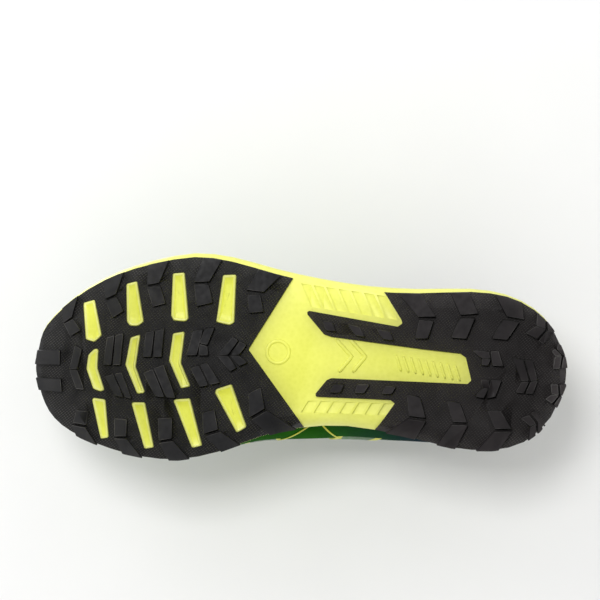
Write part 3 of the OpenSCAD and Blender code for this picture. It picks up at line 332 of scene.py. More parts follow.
def frame_of(path, faces):
    """Directions across and up at each point of a path that lies on a surface."""
    tangent = unit(np.gradient(path, axis=0))
    across = unit(np.cross(tangent, faces))
    return across, np.cross(across, tangent)


def oval(width, thickness, points=14, squareness=0.55):
    """Section of a flat bar with round edges."""
    t = np.arange(points) / points * 2 * np.pi
    shape = lambda c: np.sign(c) * abs(c) ** squareness
    return np.stack([shape(np.cos(t)) * width / 2, shape(np.sin(t)) * thickness / 2], 1)


def resample(path, faces, pitch):
    """Points at an even pitch along a path, with its surface directions."""
    s = lengths(path)
    at = np.linspace(0, s[-1], max(2, int(round(s[-1] / pitch)) + 1))
    pick = lambda rows: np.stack([np.interp(at, s, rows[:, k]) for k in range(3)], 1)
    return pick(path), unit(pick(faces))


# One stitch: places along it in lengths, heights in thread widths and shares of full girth
STITCH = [(-0.5, -0.6, 0.35), (-0.34, 0.3, 0.9), (0, 0.5, 1), (0.34, 0.3, 0.9), (0.5, -0.6, 0.35)]
THREAD_WIDTH, THREAD_SIDES = 0.5, 6


def seam(name, path, faces, material, body="root", pitch=2.6, length=1.9):
    """A line of single stitches along a path on a surface."""
    points, normals = resample(path, faces, pitch)
    across, up = frame_of(points, normals)
    along = np.cross(up, across)
    ring = oval(THREAD_WIDTH, THREAD_WIDTH, THREAD_SIDES, 1)
    stitch_faces = tube_faces(len(STITCH), THREAD_SIDES)
    parts = []
    for k in range(len(points)):
        grid = np.concatenate([
            points[k] - s * length * along[k] + h * THREAD_WIDTH * up[k]
            + w * (ring[:, :1] * across[k] + ring[:, 1:] * up[k]) for s, h, w in STITCH])
        parts.append((grid, stitch_faces, np.zeros((len(grid), 2))))
    return joined(name, parts, material, body)


# ---- materials
FADE_START, FADE_END = 10, 62
HATCH_TURN, HATCH_PITCH, HATCH_ROW = 38, 1.15, 1.5
YARN_PITCH, GRAIN_SIZE, CLOUD_SHARE = 0.55, 0.9, 0.65


class Surface:
    """A node material: a Principled shader, with textures added by short calls."""

    def __init__(self, name, roughness, specular=0.5, sheen=0.0):
        self.material = bpy.data.materials.new(name)
        self.material.use_nodes = True
        self.tree = self.material.node_tree
        self.shader = self.tree.nodes["Principled BSDF"]
        for key, value in (("Roughness", roughness), ("Specular IOR Level", specular),
                           ("Sheen Weight", sheen)):
            self.shader.inputs[key].default_value = value
        self.bumped = None

    def node(self, kind, inputs=(), **properties):
        made = self.tree.nodes.new("ShaderNode" + kind)
        for key, value in properties.items():
            setattr(made, key, value)
        for key, value in dict(inputs).items():
            if isinstance(value, bpy.types.NodeSocket):
                self.tree.links.new(value, made.inputs[key])
            else:
                made.inputs[key].default_value = value
        return made

    def place(self, uv=False, turn=0.0):
        """Coordinates in metres: the weave map, or the row frame."""
        source = self.node("TexCoord").outputs["UV" if uv else "Object"]
        if not turn:
            return source
        return self.node("Mapping", {"Vector": source,
                                     "Rotation": (0, 0, math.radians(turn))}).outputs[0]

    def noise(self, size, detail=3.0):
        """Cloudy noise whose features are about size millimetres."""
        return self.node("TexNoise", {"Vector": self.place(), "Scale": 1 / (size * MM),
                                      "Detail": detail}).outputs["Fac"]

    def cells(self, size):
        """Round cells of about size millimetres."""
        return self.node("TexVoronoi", {"Vector": self.place(),
                                        "Scale": 1 / (size * MM)}).outputs["Distance"]

    def bands(self, pitch, at, direction="X"):
        """Parallel ridges, pitch millimetres apart: the wave texture repeats pi / 10 long."""
        return self.node("TexWave", {"Vector": at, "Scale": math.pi / 10 / (pitch * MM)},
                         wave_type="BANDS", bands_direction=direction).outputs["Fac"]

    def math(self, operation, a, b=0.0):
        return self.node("Math", {0: a, 1: b}, operation=operation).outputs[0]

    def spread(self, value, low, high, start=0.0, end=1.0):
        return self.node("MapRange", {"Value": value, "From Min": low, "From Max": high,
                                      "To Min": start, "To Max": end}).outputs[0]

    def mix(self, share, a, b):
        a, b = (c if isinstance(c, bpy.types.NodeSocket) else (*c, 1) for c in (a, b))
        return self.node("Mix", {0: share, 6: a, 7: b}, data_type="RGBA").outputs[2]

    def towards_heel(self, value, heel):
        """Fades a colour into the one of the heel, along the shoe."""
        along = self.node("SeparateXYZ", {0: self.place()}).outputs[1]
        return self.mix(self.spread(along, FADE_START * MM, FADE_END * MM), value, heel)

    def colour(self, value):
        self.tree.links.new(value, self.shader.inputs["Base Color"])

    def rough(self, value):
        self.tree.links.new(value, self.shader.inputs["Roughness"])

    def bump(self, height, distance, strength=1.0):
        """Relief of distance millimetres, over any relief added before."""
        inputs = {"Height": height, "Distance": distance * MM, "Strength": strength}
        if self.bumped:
            inputs["Normal"] = self.bumped
        self.bumped = self.node("Bump", inputs).outputs[0]
        self.tree.links.new(self.bumped, self.shader.inputs["Normal"])


def rubber(name, dark, light, hatch=False, roughness=0.58):
    s = Surface(name, roughness, 0.3)
    cloud = s.mix(s.spread(s.noise(14), 0.35, 0.65), dark, light)
    if hatch:
        across = s.spread(s.bands(HATCH_PITCH, s.place(turn=HATCH_TURN)), 0.45, 0.95)
        along = s.spread(s.bands(HATCH_ROW, s.place(turn=HATCH_TURN), "Y"), 0.1, 0.6)
        net = s.math("MULTIPLY", across, along)
        # Lighter grey where the hatch ridges cross, in patches
        lighter_lines = s.math("MULTIPLY", net, s.spread(s.noise(6), 0.35, 0.6, 0.25, 1))
        cloud = s.mix(lighter_lines, cloud, HATCH_GREY)
        s.bump(net, 0.25, 0.9)
    s.colour(cloud)
    s.rough(s.spread(s.noise(3), 0.3, 0.7, roughness - 0.1, roughness + 0.12))
    s.bump(s.noise(0.5, detail=2), 0.05, 0.6)
    return s.material


def foam(name, dark, light, roughness=0.5, cells=2.2):
    s = Surface(name, roughness)
    cell = s.cells(cells)
    blend = s.math("ADD", s.math("MULTIPLY", cell, 1 - CLOUD_SHARE),
                   s.math("MULTIPLY", s.noise(22), CLOUD_SHARE))
    s.colour(s.mix(s.spread(blend, 0.25, 0.75), dark, light))
    s.bump(cell, 0.05, 0.4)
    s.bump(s.noise(0.4, detail=2), 0.03, 0.5)
    return s.material


def knit(name, yarn, gap, pitch=2.3, holes=0.55, heel=None):
    """Engineered mesh: staggered pin holes in a fine knit."""
    s = Surface(name, 0.8, 0.25, 0.1)
    at = s.place(uv=True)
    a, b = s.bands(pitch, at), s.bands(pitch * 1.25, at, "Y")
    c, d = s.math("SUBTRACT", 1.0, a), s.math("SUBTRACT", 1.0, b)
    cells = s.math("MAXIMUM", s.math("MULTIPLY", a, b), s.math("MULTIPLY", c, d))
    hole = s.spread(cells, holes, holes + 0.22)
    ribs = s.bands(YARN_PITCH, at)
    shade = s.mix(s.spread(s.noise(9), 0.3, 0.7), tuple(0.8 * x for x in yarn), yarn)
    if heel:
        shade = s.towards_heel(shade, heel)
    s.colour(s.mix(s.math("MULTIPLY", hole, 0.85), shade, gap))
    s.bump(s.math("SUBTRACT", 1.0, hole), 0.35, 0.8)
    s.bump(ribs, 0.12, 0.5)
    return s.material


def film(name, dark, light, roughness=0.42, specular=0.3, heel=None):
    """Thin moulded film with a fine leathery grain."""
    s = Surface(name, roughness, specular)
    shade = s.mix(s.spread(s.noise(16), 0.35, 0.65), dark, light)
    s.colour(s.towards_heel(shade, heel) if heel else shade)
    s.bump(s.cells(GRAIN_SIZE), 0.06, 0.5)
    s.rough(s.spread(s.noise(2.5), 0.3, 0.7, roughness - 0.06, roughness + 0.1))
    return s.material


def webbing(name, dark, light, pitch=1.1):
    """Flat woven band, with slanted yarns that meet in the middle."""
    s = Surface(name, 0.78, 0.25, 0.1)
    at = s.node("SeparateXYZ", {0: s.place(uv=True)})
    fold = s.math("ABSOLUTE", at.outputs[0])
    slanted = s.node("CombineXYZ", {0: s.math("ADD", fold, at.outputs[1]), 1: fold}).outputs[0]
    yarn = s.bands(pitch, slanted)
    ends = s.bands(pitch * 0.75, slanted, "Y")
    weave = s.math("MULTIPLY", yarn, s.spread(ends, 0, 1, 0.55, 1))
    s.colour(s.mix(weave, dark, light))
    s.bump(weave, 0.18, 0.8)
    return s.material


def thread(name, dark, light):
    s = Surface(name, 0.6, sheen=0.2)
    twist = s.bands(0.35, s.place(turn=35))
    s.colour(s.mix(twist, dark, light))
    s.bump(twist, 0.05, 0.5)
    return s.material


HATCH_GREY = (0.065, 0.061, 0.059)
RUBBER_LUG = rubber("rubber_lug", (0.012, 0.012, 0.013), (0.021, 0.0202, 0.021))
RUBBER_HATCHED = rubber("rubber_hatched", (0.005, 0.005, 0.005), (0.009, 0.0088, 0.0085),
                        hatch=True)
# Light grey of the beads along the lug tip edges: a painted highlight
RUBBER_EDGE_HIGHLIGHT = rubber("rubber_edge_painted_highlight", (0.016, 0.0155, 0.015), (0.09, 0.086, 0.083),
                     roughness=0.6)
HEEL_LUG = rubber("heel_rubber_lug", (0.021, 0.018, 0.019), (0.036, 0.031, 0.032))
HEEL_HATCHED = rubber("heel_rubber_hatched", (0.012, 0.010, 0.010), (0.02, 0.017, 0.017),
                      hatch=True)
FOAM_YELLOW = foam("midsole_foam", (0.76, 0.775, 0.16), (0.84, 0.85, 0.22))
FOAM_PAD = foam("window_foam", (0.82, 0.85, 0.1), (0.9, 0.92, 0.14), roughness=0.42)
# Paler foam for the raised rim of each window pad: a painted highlight along its puffed edge
FOAM_RIM_HIGHLIGHT = foam("window_foam_rim_painted_highlight", (0.82, 0.84, 0.2), (0.9, 0.91, 0.3), roughness=0.4)
KNIT_GREEN = knit("knit_green", (0.03, 0.21, 0.006), (0.004, 0.03, 0.004), heel=(0.012, 0.06, 0.05))
KNIT_TONGUE = knit("knit_tongue", (0.018, 0.12, 0.006), (0.004, 0.018, 0.004), 1.5, 0.62)
LINING_KNIT = knit("lining_knit", (0.018, 0.022, 0.022), (0.003, 0.004, 0.004), pitch=1.3)
SOCK_CLOTH = knit("sockliner_cloth", (0.03, 0.034, 0.032), (0.008, 0.01, 0.009), 1.7, 0.7)
GREEN_FILM = film("green_film", (0.010, 0.07, 0.005), (0.018, 0.11, 0.008))
YELLOW_FILM = film("yellow_film", (0.5, 0.5, 0.03), (0.62, 0.62, 0.05))
HEEL_FILM = film("heel_film", (0.005, 0.016, 0.022), (0.009, 0.028, 0.036), 0.34)
GUARD_FILM = film("guard_film", (0.009, 0.075, 0.002), (0.015, 0.105, 0.003), 0.85, 0.05,
                  heel=(0.004, 0.018, 0.026))
BUMPER_FILM = film("bumper_film", (0.010, 0.010, 0.010), (0.018, 0.018, 0.017), 0.55)
LACE_WEAVE = webbing("lace_weave", (0.004, 0.006, 0.004), (0.03, 0.045, 0.02))
TAB_WEAVE = webbing("tab_weave", (0.36, 0.38, 0.02), (0.66, 0.68, 0.07), 1.4)
THREAD_YELLOW = thread("thread_yellow", (0.5, 0.52, 0.03), (0.75, 0.76, 0.12))
THREAD_GREEN = thread("thread_green", (0.03, 0.12, 0.02), (0.08, 0.25, 0.05))
AGLET = film("aglet_plastic", (0.02, 0.02, 0.02), (0.035, 0.035, 0.035), 0.25)
EYELET_FILM = film("eyelet_film", (0.012, 0.02, 0.012), (0.02, 0.032, 0.02), 0.35)
INNER_FOAM = foam("inner_foam", (0.4, 0.4, 0.34), (0.52, 0.52, 0.45), 0.85)
BOARD = foam("strobel_board_cloth", (0.6, 0.58, 0.5), (0.75, 0.73, 0.66), 0.9, cells=1.2)
PLATE = film("plate_plastic", (0.03, 0.03, 0.033), (0.05, 0.05, 0.055), 0.4)
# Near black for the discs in the eyelets: painted shade of the holes
HOLE_SHADE = film("eyelet_hole_painted_shade", (0.002, 0.002, 0.002), (0.004, 0.004, 0.004), 0.9)


# ---- outsole and midsole
WELD, FLAT_ANGLE = 0.02, 0.6
LUG_SHARP_ANGLE, FACING_DOWN = 24, -0.8
FOAM_SHARP_ANGLE, FOAM_BEVEL, FOAM_BEVEL_ANGLE = 38, 0.35, 40
# Beads in a lighter rubber along the lug tip edges paint a highlight there
BEAD, BEAD_SINK, BEAD_POINTS = 0.5, 0.2, 4
HIGHLIGHT_ANGLE, HIGHLIGHT_LENGTH, TIP_REACH = 35, 1.2, 0.4
TILTED_DOWN = [0.1, 0.2, -1.0]  # tilted a little, so that no edge runs along it


def copy_of(node, name, materials):
    """A welded copy of a CAD node, which stands for it."""
    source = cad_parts[node]
    work = bmesh.new()
    work.from_mesh(source.data)
    bmesh.ops.remove_doubles(work, verts=work.verts, dist=WELD * MM)
    bmesh.ops.dissolve_limit(work, angle_limit=math.radians(FLAT_ANGLE), verts=work.verts,
                             edges=work.edges)
    mesh = bpy.data.meshes.new(name)
    work.to_mesh(mesh)
    work.free()
    for m in materials:
        mesh.materials.append(m)
    made = add_object(name, mesh)
    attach(made, "root")
    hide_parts(node)
    return made


def rubber_piece(node, name, lug, hatched):
    """Outsole rubber: hatched between the lugs, with a painted highlight along the lug tip edges.
    """
    made = copy_of(node, name, [lug, hatched])
    mesh = made.data
    centres = np.array([p.center for p in mesh.polygons]) / MM
    normals = np.array([p.normal for p in mesh.polygons])
    recessed = centres[:, 2] > tip_z(centres[:, :2]) + LUG_HEIGHT / 2
    between = (normals[:, 2] < FACING_DOWN) & recessed
    mesh.polygons.foreach_set("material_index", between.astype(np.int32))
    smooth_faces(mesh, LUG_SHARP_ANGLE)
    # Painted highlight: light beads along the edges of the lug tips
    lighter_lines = joined(name + "_painted_edge_highlights", edge_beads(mesh), RUBBER_EDGE_HIGHLIGHT)


def edge_beads(mesh):
    """Round beads, lighter than the rubber, along the edges of the lug tips: a painted highlight.
    """
    work = bmesh.new()
    work.from_mesh(mesh)
    parts = []
    for edge in work.edges:
        if len(edge.link_faces) != 2 or edge.calc_face_angle() < math.radians(HIGHLIGHT_ANGLE):
            continue
        ends = np.array([v.co for v in edge.verts]) / MM
        at_tip = (abs(ends[:, 2] - tip_z(ends[:, :2])) < TIP_REACH).all()
        if at_tip and np.linalg.norm(ends[1] - ends[0]) > HIGHLIGHT_LENGTH:
            t = np.linspace(0, 1, BEAD_POINTS)[:, None]
            path = lerp(ends[0], ends[1], t) + [0, 0, BEAD_SINK]
            across, up = frame_of(path, np.tile(TILTED_DOWN, (BEAD_POINTS, 1)))
            parts.append(tube_mesh(path, across, up, oval(BEAD, BEAD, 6, 1)))
    work.free()
    return parts


rubber_piece("outsole_forefoot", "forefoot_rubber", RUBBER_LUG, RUBBER_HATCHED)
rubber_piece("outsole_heel", "heel_rubber", HEEL_LUG, HEEL_HATCHED)

midsole = copy_of("midsole", "midsole_foam", [FOAM_YELLOW])
smooth_faces(midsole.data, FOAM_SHARP_ANGLE)
add_bevel(midsole, FOAM_BEVEL, FOAM_BEVEL_ANGLE)

# Corners of the windows in the forefoot rubber, in the plan
WINDOWS = [
    [[29.4, -118.3], [31.3, -111.7], [11.6, -107.8], [7.8, -112], [9.3, -117]],
    [[40, -94.4], [41.6, -88.2], [19.2, -84.6], [16.8, -88], [17, -92.5], [19.6, -94.2]],
    [[45.8, -69], [46.4, -62.3], [21, -60.2], [19.4, -62], [20, -68.6], [23, -70]],
    [[45, -41.8], [45.2, -34.3], [19, -35.4], [17.4, -38], [19.2, -45.6]],
    [[4.6, -112], [4.4, -109.7], [-6.3, -110.3], [-18.2, -106.4], [-19.2, -109], [-17.7, -113],
     [-6.8, -116.8], [1, -115.7]],
    [[10.8, -92.2], [12.7, -86.4], [-5.1, -89.2], [-19.4, -84], [-20.2, -88.6], [-4.2, -95.2]],
    [[13.3, -69], [14.4, -62.2], [-3, -64.4], [-15.8, -59.2], [-17, -64.6], [-1.6, -71.2]],
    [[-22.3, -113.2], [-23.2, -106], [-44.2, -104.2], [-45.2, -109], [-24, -113.6]],
    [[-24.4, -91.4], [-24.4, -84.2], [-49.2, -79.3], [-50.2, -84.8], [-25.4, -91.8]],
    [[-22.6, -68.2], [-22, -59.6], [-48, -53], [-49.5, -58.8], [-23.6, -68.8]],
    [[-17, -45.8], [-14.2, -37], [-37.8, -28.8], [-41.2, -34.4], [-19.2, -46.2]]]
WINDOW_GAP, OUTLINE_PITCH, SMOOTHINGS = 0.1, 0.6, 3
PAD_RISE = 1.9
# A window pad: insets of its rim rings in millimetres, shares of its inner rings, and the
# heights of both in shares of its rise
PAD_INSETS, PAD_RIM_HEIGHTS = [0, 0.1, 0.4, 0.9, 1.5], [-0.4, 0.7, 0.95, 1, 0.8]
PAD_SHARES, PAD_HEIGHTS = [0.66, 0.33, 0.04], [0.72, 0.7, 0.7]


def rounded_outline(corners, inset):
    """Dense points along a polygon, pulled in a little and smoothed at its corners."""
    corners = np.asarray(corners, float)
    rows = []
    for a, b in zip(corners, np.roll(corners, -1, 0)):
        count = max(2, int(np.linalg.norm(b - a) / OUTLINE_PITCH))
        rows.append(lerp(a, b, np.linspace(0, 1, count, endpoint=False)[:, None]))
    p = np.concatenate(rows)
    for _ in range(SMOOTHINGS):
        p = 0.25 * np.roll(p, 1, 0) + 0.5 * p + 0.25 * np.roll(p, -1, 0)
    t = unit(np.roll(p, -1, 0) - np.roll(p, 1, 0))
    n = np.stack([t[:, 1], -t[:, 0]], 1)
    area = (p[:, 0] * np.roll(p[:, 1], -1) - p[:, 1] * np.roll(p[:, 0], -1)).sum()
    return p - inset * n * np.sign(area)


def pillow(corners):
    """A puffed foam pad that fills a window of the rubber."""
    rings = [rounded_outline(corners, WINDOW_GAP + k) for k in PAD_INSETS]
    rings += [lerp(rings[-1].mean(0), rings[-1], s) for s in PAD_SHARES]
    n = len(rings[0])
    points = np.concatenate([np.column_stack([r, foam_z(r) - h * PAD_RISE])
                             for r, h in zip(rings, PAD_RIM_HEIGHTS + PAD_HEIGHTS)])
    faces = [(k * n + i, k * n + (i + 1) % n, (k + 1) * n + (i + 1) % n, (k + 1) * n + i)
             for k in range(len(rings) - 1) for i in range(n)]
    faces.append(tuple((len(rings) - 1) * n + i for i in range(n)))
    return points, faces, points[:, :2]


pads = joined("window_pads", [pillow(w) for w in WINDOWS], [FOAM_PAD, FOAM_RIM_HIGHLIGHT])
# Faces between the rim rings take the paler foam, a painted highlight; the inner rings and the cap
# take the pad foam
rim_highlight = []
for w in WINDOWS:
    n = len(rounded_outline(w, 0))
    rim_highlight += [1] * ((len(PAD_INSETS) - 1) * n) + [0] * (len(PAD_SHARES) * n + 1)
pads.data.polygons.foreach_set("material_index", rim_highlight)


RIDGE_STEPS, RIDGE_SIDES, RIDGE_END = 8, 12, 0.55


def ridge(corners, width, height, closed=False):
    """A low moulded bar on the foam of the arch, along corners in the plan."""
    corners = np.asarray(corners, float)
    s = np.linspace(0, len(corners) - 1, RIDGE_STEPS * (len(corners) - 1) + 1)
    plan = np.stack([np.interp(s, range(len(corners)), corners[:, k]) for k in (0, 1)], 1)
    path = np.column_stack([plan, foam_z(plan)])
    across, up = frame_of(path, np.tile([0.0, 0, -1], (len(path), 1)))
    points, faces, uv = tube_mesh(path, across, up, oval(width, 2 * height, RIDGE_SIDES, 0.8))
    if not closed:
        grid = points.reshape(len(path), RIDGE_SIDES, 3)
        for k in (0, -1):
            grid[k] = path[k] + RIDGE_END * (grid[k] - path[k])
    return points, faces, uv


# Plain slanted bars down the slot of the heel, chevrons before it, and a plain ring
SLOT_LEAN, SLOT_PITCH, SLOT_LENGTH = 0.17, 4, 36
MARK_X, MARK_Y, MARK_R = 3, -12, 6
slot_bars = [ridge([(1.5 - SLOT_LEAN * y, 52 + y), (-7.5 - SLOT_LEAN * y, 55 + y)], 1.5, 0.6)
             for y in range(0, SLOT_LENGTH, SLOT_PITCH)]
chevrons = [ridge([(10, y), (0.5, y + 8.5), (-8, y + 1.5)], 2.2, 0.75) for y in (19.5, 27)]
a = np.linspace(0, 2 * np.pi, 37)
ring_mark = ridge(np.stack([MARK_X + MARK_R * np.cos(a), MARK_Y + MARK_R * np.sin(a)], 1),
                  2, 0.7, closed=True)
bars = joined("arch_marks", slot_bars + chevrons + [ring_mark], FOAM_YELLOW)


# ---- upper
COLLAR_FROM, COUNTER_FROM, PUFF_TO, COUNTER_TOP = 0.7, 0.8, 0.14, 0.5
COLLAR_PADDING, STIFFENER_ROOM = 7, 1.2
STIFF_MARGIN, STIFF_FADE, STIFF_TOP, STIFF_TOP_FADE = 0.09, 0.06, COUNTER_TOP + 0.14, 0.1
PAD_FROM, PAD_FADE, PAD_LOW, PAD_SPAN = COLLAR_FROM - 0.02, 0.12, 0.46, 0.6
UPPER_ROWS, LINING_ROWS, TUCK = 44, 34, 4
ROLL_HEIGHT, ROLL_EXTRA, ROLL_FROM, ROLL_FADE = 0.9, 1.3, 0.6, 0.15


def lining_depth(b, v):
    """Depth of the lining under the outer face, with room for stiffeners and padding."""
    share = side_share(b)
    ends = np.maximum(ease((share - COUNTER_FROM + STIFF_MARGIN) / STIFF_FADE),
                      ease((PUFF_TO + STIFF_MARGIN - share) / STIFF_FADE))
    stiff = STIFFENER_ROOM * ends * ease((STIFF_TOP - v) / STIFF_TOP_FADE)
    pad = (ease((share - PAD_FROM) / PAD_FADE)
           * np.sin(np.pi * np.clip((v - PAD_LOW) / PAD_SPAN, 0, 1)) ** 0.8)
    return KNIT + np.maximum(stiff, COLLAR_PADDING * pad)


ring_b = np.arange(RING, dtype=float)[:, None]
outer = skin(ring_b, np.concatenate([[0], np.linspace(0.02, 1, UPPER_ROWS)])[None, :])
outer[:, 0] -= [0, 0, TUCK]
upper = ring_sheet("knit_upper", outer, KNIT_GREEN)
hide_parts("upper_mesh")

# Lining, rolled over the edge of the opening
roll_share = ease((side_share(ring_b) - ROLL_FROM) / ROLL_FADE)
turn = np.linspace(0, np.pi, 9)[None, :]
roll = under_skin(ring_b, 1.0, (KNIT + LINING) / 2 * (1 - np.cos(turn)))
rise_dir = unit(skin(ring_b, 1.0) - skin(ring_b, 0.96))
roll_height = ROLL_HEIGHT + ROLL_EXTRA * roll_share
roll = roll + roll_height[..., None] * np.sin(turn)[..., None] * rise_dir
inner_v = np.linspace(0.98, 0.0, LINING_ROWS)[None, :]
inner_wall = under_skin(ring_b, inner_v, lining_depth(ring_b, inner_v) + LINING)
low_edge = inner_wall[:, -1:].copy()
low_edge[..., 2] = bed_z(low_edge[..., 1]) + 1
lining = ring_sheet("lining_and_collar", np.concatenate([roll, inner_wall, low_edge], 1),
                    LINING_KNIT)
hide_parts("lining", "collar_foam")


BOND_GAP, BOND_DEPTH = 0.12, 0.4


def height_of(edge, b):
    """Height of an edge that is a number or a function of the ring position."""
    return edge(b) if callable(edge) else edge


def patch(name, start, end, columns, rows, thickness, low, high, materials, bevel=0.3):
    """A sheet bonded on the skin between ring positions, and between a low and a high edge."""
    b = np.linspace(start, end, columns + 1)[:, None]
    v = lerp(height_of(low, b), height_of(high, b), np.linspace(0, 1, rows + 1)[None, :])
    return shell(name, under_skin(b, v, -BOND_GAP - thickness), under_skin(b, v, BOND_DEPTH),
                 materials, bevel=bevel)


BUMPER_REACH, HEEL_REACH, GUARD_GAP = 0.2, 0.1, 0.012


def from_middle(b, start, reach):
    """Distance from the middle of a patch that wraps an end of the shoe: 1 at its two ends."""
    return abs(2 * (b - start) / (2 * reach * STATIONS + ACROSS) - 1)


BUMPER_START, HEEL_START = -ACROSS - BUMPER_REACH * STATIONS, (1 - HEEL_REACH) * STATIONS
bumper = patch("toe_bumper_film", BUMPER_START, BUMPER_REACH * STATIONS, 110, 14, 1.0, 0.0,
               lambda b: 0.34 - 0.24 * from_middle(b, BUMPER_START, BUMPER_REACH) ** 2,
               BUMPER_FILM)
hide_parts("toe_bumper")
heel = patch("heel_overlay_film", HEEL_START, (1 + HEEL_REACH) * STATIONS + ACROSS, 70, 24, 1.0,
             0.0, lambda b: 0.84 - 0.5 * from_middle(b, HEEL_START, HEEL_REACH) ** 1.6, HEEL_FILM)
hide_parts("heel_overlay")
for side, label in ((1, "outer"), (-1, "inner")):
    guard = patch("mudguard_" + label, place(side, BUMPER_REACH + GUARD_GAP),
                  place(side, 1 - HEEL_REACH - GUARD_GAP), 120, 8, 0.6, 0.0,
                  lambda b: 0.15 + 0.05 * np.sin(np.pi * side_share(b)), GUARD_FILM, bevel=0.2)
    if side == 1:
        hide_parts("mudguard")

# Ends (along, up) of the lines on each side
GUARD_LINES = [((0.545, 0.22), (0.605, 0.04)), ((0.615, 0.04), (0.64, 0.22)),
               ((0.46, 0.2), (0.5, 0.04))]
LINE_WIDTH, LINE_THICKNESS, LINE_LIFT, LINE_POINTS = 1.1, 0.4, 0.85, 24


def film_line(side, start, end):
    """A thin printed line over the mudguard, between two places (along, up) of a side."""
    f, v = np.linspace(start, end, LINE_POINTS).T
    b = place(side, f)
    path = under_skin(b, v, -LINE_LIFT)
    across, up = frame_of(path, skin_normal(b, v))
    return tube_mesh(path, across, up, oval(LINE_WIDTH, LINE_THICKNESS, 10, 0.7))


lines = joined("guard_lines", [film_line(side, *ends) for side in (1, -1) for ends in GUARD_LINES],
               YELLOW_FILM)

# Each strap's places along the side at its top and its foot
STRAPS = [[0.42, 0.36], [0.5, 0.53], [0.58, 0.68]]
STRAP_WIDTH, STRAP_LOW, STRAP_HIGH, STRAP_ROWS = 0.055, 0.17, 0.79, 25
STRAP_LIFT, STRAP_DEPTH = 0.75, 0.3
STRAP_COLUMNS = [-1, -0.86, -0.72, -0.4, 0, 0.4, 0.72, 0.86, 1]
for side, label in ((1, "lateral"), (-1, "medial")):
    for number, (top, foot) in enumerate(STRAPS):
        t = np.array(STRAP_COLUMNS)[:, None]
        v = np.linspace(STRAP_LOW, STRAP_HIGH, STRAP_ROWS + 1)[None, :]
        b = lerp(place(side, foot), place(side, top), v) + t * STRAP_WIDTH * STATIONS / 2
        strap = shell(f"saddle_{label}_{number + 1}", under_skin(b, v, -STRAP_LIFT),
                      under_skin(b, v, STRAP_DEPTH), [GREEN_FILM, YELLOW_FILM], bevel=0.2)
        # Yellow on two columns at each edge of both faces, and round the rim
        edge = np.repeat([1, 1, 0, 0, 0, 0, 1, 1], STRAP_ROWS)
        index = np.ones(len(strap.data.polygons), np.int32)
        index[:2 * len(edge)] = np.tile(edge, 2)
        strap.data.polygons.foreach_set("material_index", index)
        if number == 0:
            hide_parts("saddle_" + label)

EYESTAY_FROM, EYESTAY_TO = 0.1, 0.645


def eyestay_low(b):
    share = (side_share(b) - EYESTAY_FROM) / (EYESTAY_TO - EYESTAY_FROM)
    return 0.795 - 0.02 * np.sin(2 * np.pi * share)


for side, label in ((1, "lateral"), (-1, "medial")):
    stay = patch("eyestay_film_" + label, place(side, EYESTAY_FROM), place(side, EYESTAY_TO),
                 110, 10, EYESTAY, eyestay_low, 1.0, GREEN_FILM)
    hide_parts("eyestay_" + label)
    b = place(side, np.linspace(EYESTAY_FROM + 0.01, EYESTAY_TO - 0.01, 160))
    for name, v in (("low", eyestay_low(b) + 0.022), ("top", 0.975)):
        stitch = seam(f"eyestay_seam_{label}_{name}", under_skin(b, v, -EYESTAY - 0.25),
                      skin_normal(b, v), THREAD_YELLOW)

# ---- tongue
LACE_ROOM, TONGUE_FROM, TONGUE_TO = 3.3, 0.07, 0.622
TONGUE_DEPTH = KNIT + LINING + LACE_ROOM
LOW_WING_LIFT, WING_LIFT = 0.5, 1.25
TONGUE_STEPS, TIP_STEPS, TONGUE_FREE = 11, 4, 27
TIP_LEAN = np.array([0, 0.6, 0.8])
TONGUE_ROWS, TONGUE_COLUMNS = 90, 41
TONGUE_PUFF, TONGUE_THICK, TONGUE_EDGE, TONGUE_SINK = 1.3, 3.7, 1.0, 0.25
CHANNEL_PITCH, CHANNEL_WIDTH, CHANNEL_DEPTH = 1.25, 0.11, 0.75


def tongue_across(f, q):
    """A place of the tongue across the shoe, low under the laces and lifted at its wings."""
    wing = lerp(0.84, 0.97, ease((f - 0.42) / 0.16))
    v = np.where(abs(q) > 0.5, lerp(1, wing, (abs(q) - 0.5) / 0.5), 1)
    b = np.where(q > 0, place(1, f), place(-1, f))
    lift = lerp(LOW_WING_LIFT, WING_LIFT, ease((f - 0.5) / 0.1))
    edge = under_skin(b, v, TONGUE_DEPTH - lift * np.clip(2 * abs(q) - 1, 0, 1))
    middle = lerp(under_skin(place(-1, f), 1.0, TONGUE_DEPTH),
                  under_skin(place(1, f), 1.0, TONGUE_DEPTH), (q + 0.5)[..., None])
    middle[..., 2] += 2 * np.cos(np.pi * q)
    return np.where((abs(q) > 0.5)[..., None], edge, middle)


def tongue_point(k, q):
    """Top face of the tongue: k along it, q from -1 at the inner wing to 1 at the outer wing."""
    t = np.clip((k - TONGUE_STEPS) / TIP_STEPS, 0, None)
    f = lerp(TONGUE_FROM, TONGUE_TO, np.minimum(k, TONGUE_STEPS) / TONGUE_STEPS)
    base = tongue_across(f, q)
    middle = tongue_across(f, np.zeros_like(q))
    tip = (middle + (1 - 0.2 * t)[..., None] * (base - middle)
           + (t * TONGUE_FREE - 7 * t ** 3 * q * q)[..., None] * unit(TIP_LEAN))
    tip[..., 2] += 3 * t * q * q
    return tip


